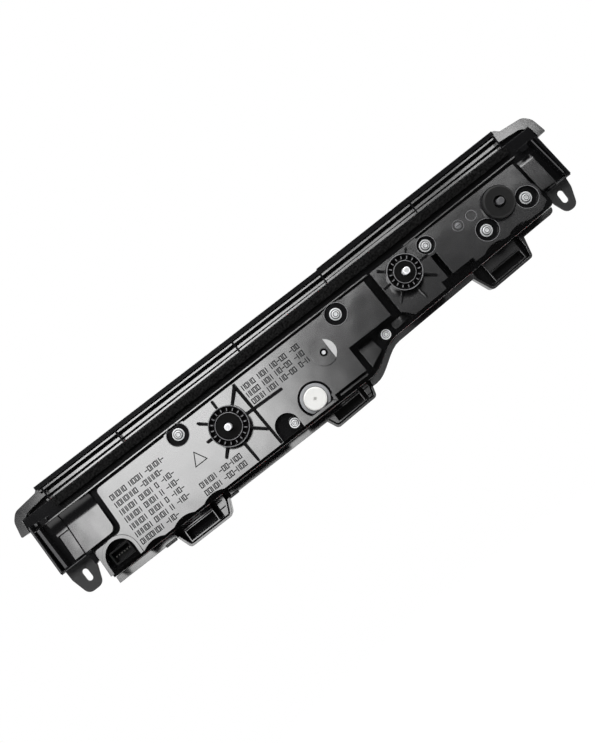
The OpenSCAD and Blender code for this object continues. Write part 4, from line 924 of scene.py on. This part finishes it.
@dataclass
class Rims:
    """Fine rounded rims on the stud rings, on the grommet and round the wells, and webs in the rings. The
    rims on the rings and wells and the webs are grey, lighter than the housing they are moulded in, as
    painted highlight.
    """

    thickness: float = 0.36
    well_thickness: float = 0.25
    ring_y: float = 0.9
    grommet_y: float = 6.5
    web_size: Spot = (2.4, 0.95, 1.6)
    # Name, axis, radius of the webs' middles and their number
    webs: Sequence[tuple[str, Place, float, int]] = (
        ("ring_left", LEFT_STUD, 14.8, 18), ("ring_mid", MID_STUD, 12.6, 16)
    )
    ring_rims: Sequence[tuple[str, Place, float]] = (
        ("ring_left_outer", LEFT_STUD, 17.9), ("ring_left_inner", LEFT_STUD, 11.95),
        ("ring_mid_outer", MID_STUD, 15.7), ("ring_mid_inner", MID_STUD, 9.75)
    )
    grommet_rims: Sequence[tuple[str, Place, float]] = (
        ("grommet_outer", RIGHT_STUD, 12.9), ("grommet_inner", RIGHT_STUD, 5.9)
    )

    def build(self) -> None:
        """Turns each rim and lays the webs."""
        # The ring rims are lighter than the housing: painted highlight
        for name, (x, z), radius in self.ring_rims:
            self.rim(name, at(x, self.ring_y, z), radius, RIM_HIGHLIGHT_GREY, "housing_black")
        for name, (x, z), radius in self.grommet_rims:
            self.rim(name, at(x, self.grommet_y, z), radius, GROMMET_RUBBER, "seal_rubber")
        for name, (x, z), radius, count in self.webs:
            turns = [
                Matrix.Translation(at(x, self.ring_y, z)) @ Matrix.Rotation(-math.tau * k / count, 4, "Y")
                @ Matrix.Translation(at(radius, 0, 0)) @ Matrix.Rotation(math.pi / 2, 4, "X")
                @ Matrix.Diagonal((*self.web_size, 1))
                for k in range(count)
            ]
            webs = Shop.bars(f"{name}_webs", turns)
            # The webs are lighter than the housing: painted highlight
            Shop.dress(webs, RIM_HIGHLIGHT_GREY)
            Shop.seat(webs, "housing_black")
        for k, well in enumerate(WELLS):
            section = Rims.bead(well.mouth, self.well_thickness)
            rim = Shop.turned(f"well_rim_{k}", on_plate(well.x, well.z), section, 64, True, PLATE_NORMAL)
            # The well rims are lighter than the housing: painted highlight
            Shop.dress(rim, RIM_HIGHLIGHT_GREY)
            Shop.seat(rim, "housing_black")

    def rim(self, name: str, centre: Vector, radius: float, finish: Plastic, slot: str) -> None:
        """Turns one rim that faces straight to the rear.

        Args:
            name: what the rim runs round.
            centre: its centre, in metres.
            radius: radius of its middle line.
            finish: its finish.
            slot: its material slot.
        """
        rim = Shop.turned(f"{name}_rim", centre, Rims.bead(radius, self.thickness), 96, True)
        Shop.dress(rim, finish)
        Shop.seat(rim, slot)

    @staticmethod
    def bead(radius: float, thickness: float) -> list[Place]:
        """Returns the round section of a rim.

        Args:
            radius: radius of the rim's middle line.
            thickness: radius of the section.

        Returns:
            Radius and height of each of its points.
        """
        turns = [math.tau * k / 8 for k in range(8)]
        return [(radius + thickness * math.cos(t), thickness * math.sin(t)) for t in turns]


class Stroke(Enum):
    """Plain shapes that stand where moulded marks sit."""

    FRAME = "f"
    TICKS = "t"
    DASH = "-"
    BLANK = " "


@dataclass
class MouldedMarks:
    """Plain raised strokes where moulded marks sit, with no letters or figures."""

    stroke: float = 0.95
    width: float = 2.2
    height: float = 4.4
    advance: float = 3.5
    # Left end and middle of a block's top row, the rows' spacing, and the rows
    blocks: Sequence[tuple[Place, float, Sequence[str]]] = (
        (
            (-122.6, 13.7), 7.8,
            ("ftftf tfft -ftft-", "tftfttf -ftttf-", "tttft ftft f -tf-", "tttft ftft t -tf-",
             "tttft ftft f -tf-", "tttft ftft t -tf-", "ftfftft -tf-")
        ),
        ((-52.2, -26.3), 7.8, ("fttft -ff-tff", "fftft -ff-tff")),
        ((28.8, 18.9), 7.5, ("tftf tft tf-ff -ff", "ttff tft tf-ff -tf", "fftt tft tf-ff f-t")),
    )
    corners: Sequence[Place] = ((-39.4, 0.9), (-45.5, -10.5), (-33.2, -10.5))
    divider: tuple[Place, Place] = ((23.9, 27.0), (27.4, -39.6))
    divider_shade_width: float = 3.0

    def build(self) -> None:
        """Lays the strokes and the triangle on the plate, and a dark matt strip in the plate's groove as
        painted shade.
        """
        triangle = zip(self.corners, [*self.corners[1:], self.corners[0]])
        ends = [*self.strokes(), *triangle]
        marks = Shop.bars("moulded_marks", [laid_on_plate(*pair, self.stroke, self.stroke) for pair in ends])
        Shop.dress(marks, MARK_BLACK)
        Shop.seat(marks, "housing_black")
        # Dark matt strip in the groove: painted shade
        strip = Shop.bars("divider_shade_strip", [laid_on_plate(*self.divider, self.divider_shade_width)])
        Shop.dress(strip, SEAL_RUBBER_AND_DIVIDER_SHADE)
        Shop.seat(strip, "housing_black")

    def strokes(self) -> list[tuple[Place, Place]]:
        """Returns the ends of every stroke of the blocks."""
        ends = []
        for (start, top), spacing, rows in self.blocks:
            for r, row in enumerate(rows):
                for k, letter in enumerate(row):
                    ends += self.shape(Stroke(letter), start + k * self.advance, top - r * spacing)
        return ends

    def shape(self, stroke: Stroke, left: float, middle: float) -> list[tuple[Place, Place]]:
        """Returns the ends of the strokes of one shape.

        Args:
            stroke: which shape.
            left: place of its left side.
            middle: height of its middle.

        Returns:
            The ends of each stroke.
        """
        right = left + self.width
        low, high = middle - self.height / 2, middle + self.height / 2
        sides = [((left, low), (left, high)), ((right, low), (right, high))]
        caps = [((left, low), (right, low)), ((left, high), (right, high))]
        dash = [((left, middle), (right, middle))]
        return {Stroke.FRAME: sides + caps, Stroke.TICKS: sides, Stroke.DASH: dash, Stroke.BLANK: []}[stroke]


@dataclass
class RailHighlightStrips:
    """Satin strips on the rear faces of the end rails, lighter than the housing as painted highlight for the
    light that the rails catch.
    """

    # Both ends, along the lamp and up, then the strip's width and where the rail's rear face lies
    rows: Sequence[tuple[Place, Place, float, float]] = (
        ((LEFT_X + 4.5, LEFT_FOOT + 1), (LEFT_X + 6.0, 37.5), 1.2, 23.0),
        ((LEFT_X + 10.8, LEFT_FOOT + 2), (LEFT_X + 11.2, 31.0), 2.8, 23.0),
        ((LEFT_X + 6.6, 31.4), (LEFT_X + 9.4, 31.4), 0.7, 24.0),
        ((LEFT_X + 11.8, 35.0), (LEFT_X + 12.0, 37.2), 2.4, 26.0),
        ((LEFT_X + 4.0, LEFT_FOOT), (LEFT_X + 31.0, LEFT_FOOT), 0.8, 24.0),
        ((RIGHT_X - 9.1, RIGHT_FOOT + 4), (RIGHT_X - 14.2, 35.5), 1.1, 23.0),
        ((RIGHT_X - 20.0, RIGHT_FOOT), (RIGHT_X - 5.0, RIGHT_FOOT), 0.8, 26.0)
    )

    def build(self) -> None:
        """Lays a strip on each rail."""
        places = []
        for first, last, width, rear in self.rows:
            middle = at((first[0] + last[0]) / 2, rear + Shop.bar_sunk, (first[1] + last[1]) / 2)
            places.append(laid(middle, last[0] - first[0], last[1] - first[1], width))
        strips = Shop.bars("rail_highlight_strips", places)
        # The strips are lighter than the rails: painted highlight
        Shop.dress(strips, RAIL_HIGHLIGHT_GREY)
        Shop.seat(strips, "housing_black")


@dataclass
class Dials:
    """Two round moulded dials on the right plate, one with a slotted disc."""

    slotted: Place = (267.2, 15.5)
    plain: Place = (281.8, 15.5)
    slotted_radius: float = 5.1
    plain_radius: float = 4.7
    thickness: float = 0.3
    disc: float = 2.9
    slot_length: float = 4.8
    slot_width: float = 0.8
    slot_proud: float = 0.3

    def build(self) -> None:
        """Turns the rings and the disc, and lays the slot."""
        self.ring("dial_ring_0", self.slotted, self.slotted_radius, DIAL_GREY)
        # This dial ring is lighter than the housing: painted highlight
        self.ring("dial_ring_1", self.plain, self.plain_radius, RIM_HIGHLIGHT_GREY)
        x, z = self.slotted
        outline = ((self.disc, -0.4), (self.disc, 0.15), (self.disc - 0.3, 0.35), (0.1, 0.35))
        disc = Shop.turned("dial_disc", on_plate(x, z), outline, 40, False, PLATE_NORMAL)
        Shop.dress(disc, DIAL_GREY)
        Shop.seat(disc, "housing_black")
        half = self.slot_length / 2
        place = laid_on_plate((x - half, z), (x + half, z), self.slot_width)
        place.translation += PLATE_NORMAL * (self.slot_proud * MM)
        slot = Shop.bars("dial_slot", [place])
        Shop.dress(slot, MARK_BLACK)
        Shop.seat(slot, "housing_black")

    def ring(self, name: str, centre: Place, radius: float, finish: Plastic) -> None:
        """Turns the ring of a dial.

        Args:
            name: name of the ring.
            centre: its centre, along the lamp and up.
            radius: radius of its middle line.
            finish: its finish.
        """
        section = Rims.bead(radius, self.thickness)
        ring = Shop.turned(name, on_plate(*centre), section, 48, True, PLATE_NORMAL)
        Shop.dress(ring, finish)
        Shop.seat(ring, "housing_black")


@dataclass
class Studio:
    """Pale floor, white surroundings, soft lights and the camera. Lengths are in metres."""

    floor_place: Spot = (0.08, 0, -0.45)
    floor_reach: float = 0.9
    floor_fade: Place = (0.45, 0.98)
    floor_grey: float = 0.93
    camera_place: Spot = (0.0763, -0.895, 0.0009)
    camera_roll: float = math.radians(37.9)
    lens_mm: float = 50
    sensor_mm: float = 36
    rear_sky: float = 0.05
    side_sky: float = 1.7
    front_sky: float = 0.8
    wall_y: float = -1.10
    # Rows of softboxes behind the camera, which the lower lip, the plates and the ledges reflect: each
    # row's lower and upper edge, and for each of its boxes the left and right edge and the brightness
    wall: Sequence[tuple[float, float, Sequence[Spot]]] = (
        (0.28, 0.395, ((-0.75, -0.44, 5), (-0.44, 0.06, 8.5), (0.06, 0.9, 0.4))),
        (
            0.395, 0.605,
            ((-0.75, -0.50, 3), (-0.50, -0.44, 12), (-0.44, -0.04, 16), (-0.04, 0, 13), (0, 0.05, 9.5),
             (0.05, 0.10, 5.5), (0.10, 0.15, 2.6), (0.15, 0.23, 0.9), (0.23, 0.9, 0.45))
        ),
        (
            0.605, 0.66,
            ((-0.75, -0.54, 0.8), (-0.54, -0.51, 3), (-0.51, -0.44, 10), (-0.44, 0, 27), (0, 0.1, 25),
             (0.1, 0.25, 22), (0.25, 0.47, 14), (0.47, 0.62, 7), (0.62, 0.8, 17))
        ),
    )

    def build(self) -> None:
        """Builds the surroundings."""
        self.world()
        self.floor()
        for r, (low, high, boxes) in enumerate(self.wall):
            for k, (left, right, brightness) in enumerate(boxes):
                place = ((left + right) / 2, self.wall_y, (low + high) / 2)
                size = (right - left, high - low)
                self.softbox(f"rear_softbox_{r}_{k}", place, size, brightness, FORWARD)
        self.softbox("panel_softbox", (0.72, self.wall_y, 0.95), (0.2, 0.5), 16, FORWARD)
        self.softbox("edge_softbox", (0.6, -0.75, 1.05), (0.5, 0.2), 8, Vector((-0.4, 0.75, -1.05)))
        self.softbox("top_softbox", (0.1, 0.1, 1.3), (1.4, 1.0), 1.2, Vector((0, 0, -1)))
        self.softbox("lens_softbox", (0.3, 1.3, 0.7), (0.9, 0.5), 3.5, Vector((-0.22, -1.28, -0.7)))
        self.camera()

    def world(self) -> None:
        """White where the camera looks past the lamp, and dimmer on the camera's own side."""
        world = bpy.data.worlds.new("studio")
        bpy.context.scene.world = world
        world.use_nodes = True
        tree = world.node_tree
        tree.nodes.clear()
        output = tree.nodes.new("ShaderNodeOutputWorld")
        seen = tree.nodes.new("ShaderNodeBackground")
        seen.inputs["Color"].default_value = (1, 1, 1, 1)
        around = tree.nodes.new("ShaderNodeBackground")
        around.inputs["Color"].default_value = (1, 1, 1, 1)
        split = tree.nodes.new("ShaderNodeSeparateXYZ")
        tree.links.new(tree.nodes.new("ShaderNodeTexCoord").outputs["Generated"], split.inputs["Vector"])
        rear = self.fade(tree, split.outputs["Y"], (-0.6, -0.3), (self.rear_sky, self.side_sky))
        front = self.fade(tree, split.outputs["Y"], (0.3, 0.5), (0, self.side_sky - self.front_sky))
        sky = tree.nodes.new("ShaderNodeMath")
        sky.operation = "SUBTRACT"
        tree.links.new(rear, sky.inputs[0])
        tree.links.new(front, sky.inputs[1])
        tree.links.new(sky.outputs["Value"], around.inputs["Strength"])
        path = tree.nodes.new("ShaderNodeLightPath")
        either = tree.nodes.new("ShaderNodeMath")
        either.operation = "MAXIMUM"
        tree.links.new(path.outputs["Is Camera Ray"], either.inputs[0])
        tree.links.new(path.outputs["Is Transmission Ray"], either.inputs[1])
        mix = tree.nodes.new("ShaderNodeMixShader")
        tree.links.new(either.outputs["Value"], mix.inputs["Fac"])
        tree.links.new(around.outputs["Background"], mix.inputs[1])
        tree.links.new(seen.outputs["Background"], mix.inputs[2])
        tree.links.new(mix.outputs["Shader"], output.inputs["Surface"])

    def floor(self) -> None:
        """Pale floor that fades into the white around it."""
        bpy.ops.object.select_all(action="DESELECT")
        bpy.ops.mesh.primitive_circle_add(
            vertices=96, radius=self.floor_reach, fill_type="NGON", location=self.floor_place
        )
        floor = bpy.context.view_layer.objects.active
        floor.name = "floor"
        material = bpy.data.materials.new("pale_floor")
        material.use_nodes = True
        tree = material.node_tree
        tree.nodes.clear()
        output = tree.nodes.new("ShaderNodeOutputMaterial")
        pale = tree.nodes.new("ShaderNodeBsdfDiffuse")
        pale.inputs["Color"].default_value = (*(self.floor_grey,) * 3, 1)
        clear = tree.nodes.new("ShaderNodeBsdfTransparent")
        reach = tree.nodes.new("ShaderNodeVectorMath")
        reach.operation = "LENGTH"
        tree.links.new(tree.nodes.new("ShaderNodeTexCoord").outputs["Object"], reach.inputs[0])
        fade = tree.nodes.new("ShaderNodeMapRange")
        fade.interpolation_type = "SMOOTHSTEP"
        fade.inputs["From Min"].default_value = self.floor_reach * self.floor_fade[0]
        fade.inputs["From Max"].default_value = self.floor_reach * self.floor_fade[1]
        tree.links.new(reach.outputs["Value"], fade.inputs["Value"])
        mix = tree.nodes.new("ShaderNodeMixShader")
        tree.links.new(fade.outputs["Result"], mix.inputs["Fac"])
        tree.links.new(pale.outputs["BSDF"], mix.inputs[1])
        tree.links.new(clear.outputs["BSDF"], mix.inputs[2])
        tree.links.new(mix.outputs["Shader"], output.inputs["Surface"])
        floor.data.materials.append(material)

    @staticmethod
    def fade(tree: bpy.types.NodeTree, value: Socket, over: Place, levels: Place) -> Socket:
        """Maps a value smoothly from one level to another.

        Args:
            tree: tree to work in.
            value: socket to map.
            over: values between which the level changes.
            levels: the level before and after.

        Returns:
            The level.
        """
        node = tree.nodes.new("ShaderNodeMapRange")
        node.interpolation_type = "SMOOTHSTEP"
        node.inputs["From Min"].default_value, node.inputs["From Max"].default_value = over
        node.inputs["To Min"].default_value, node.inputs["To Max"].default_value = levels
        tree.links.new(value, node.inputs["Value"])
        return node.outputs["Result"]

    @staticmethod
    def softbox(name: str, place: Spot, size: Place, brightness: float, aim: Vector) -> None:
        """Adds a rectangular light.

        Args:
            name: name of the light.
            place: its centre.
            size: its width and height.
            brightness: radiance of its face.
            aim: direction that it shines in.
        """
        data = bpy.data.lights.new(name, "AREA")
        data.shape = "RECTANGLE"
        data.size, data.size_y = size
        data.energy = brightness * math.pi * size[0] * size[1]
        light = bpy.data.objects.new(name, data)
        bpy.context.scene.collection.objects.link(light)
        light.location = place
        light.rotation_euler = aim.to_track_quat("-Z", "Y").to_euler()

    def camera(self) -> None:
        """Sets the camera square to the lamp's rear, rolled so that the lamp climbs to the right."""
        data = bpy.data.cameras.new("camera")
        data.lens = self.lens_mm
        data.sensor_width = self.sensor_mm
        camera = bpy.data.objects.new("camera", data)
        bpy.context.scene.collection.objects.link(camera)
        c, s = math.cos(self.camera_roll), math.sin(self.camera_roll)
        turned = Matrix(((c, s, 0), (0, 0, -1), (-s, c, 0))).to_4x4()
        camera.matrix_world = Matrix.Translation(self.camera_place) @ turned
        bpy.context.scene.camera = camera


def main() -> None:
    """Builds the lamp's looks piece by piece."""
    logging.basicConfig(level=logging.INFO, format="%(message)s")
    FRAME.update(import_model())
    bpy.context.scene.view_settings.view_transform = "Standard"
    for assembly in (
        CarriedOver(), Mouldings(), Screws(), Studs(), FoamStrip(), Rims(), MouldedMarks(), RailHighlightStrips(),
        Dials(), Studio()
    ):
        assembly.build()


if __name__ == "__main__":
    main()
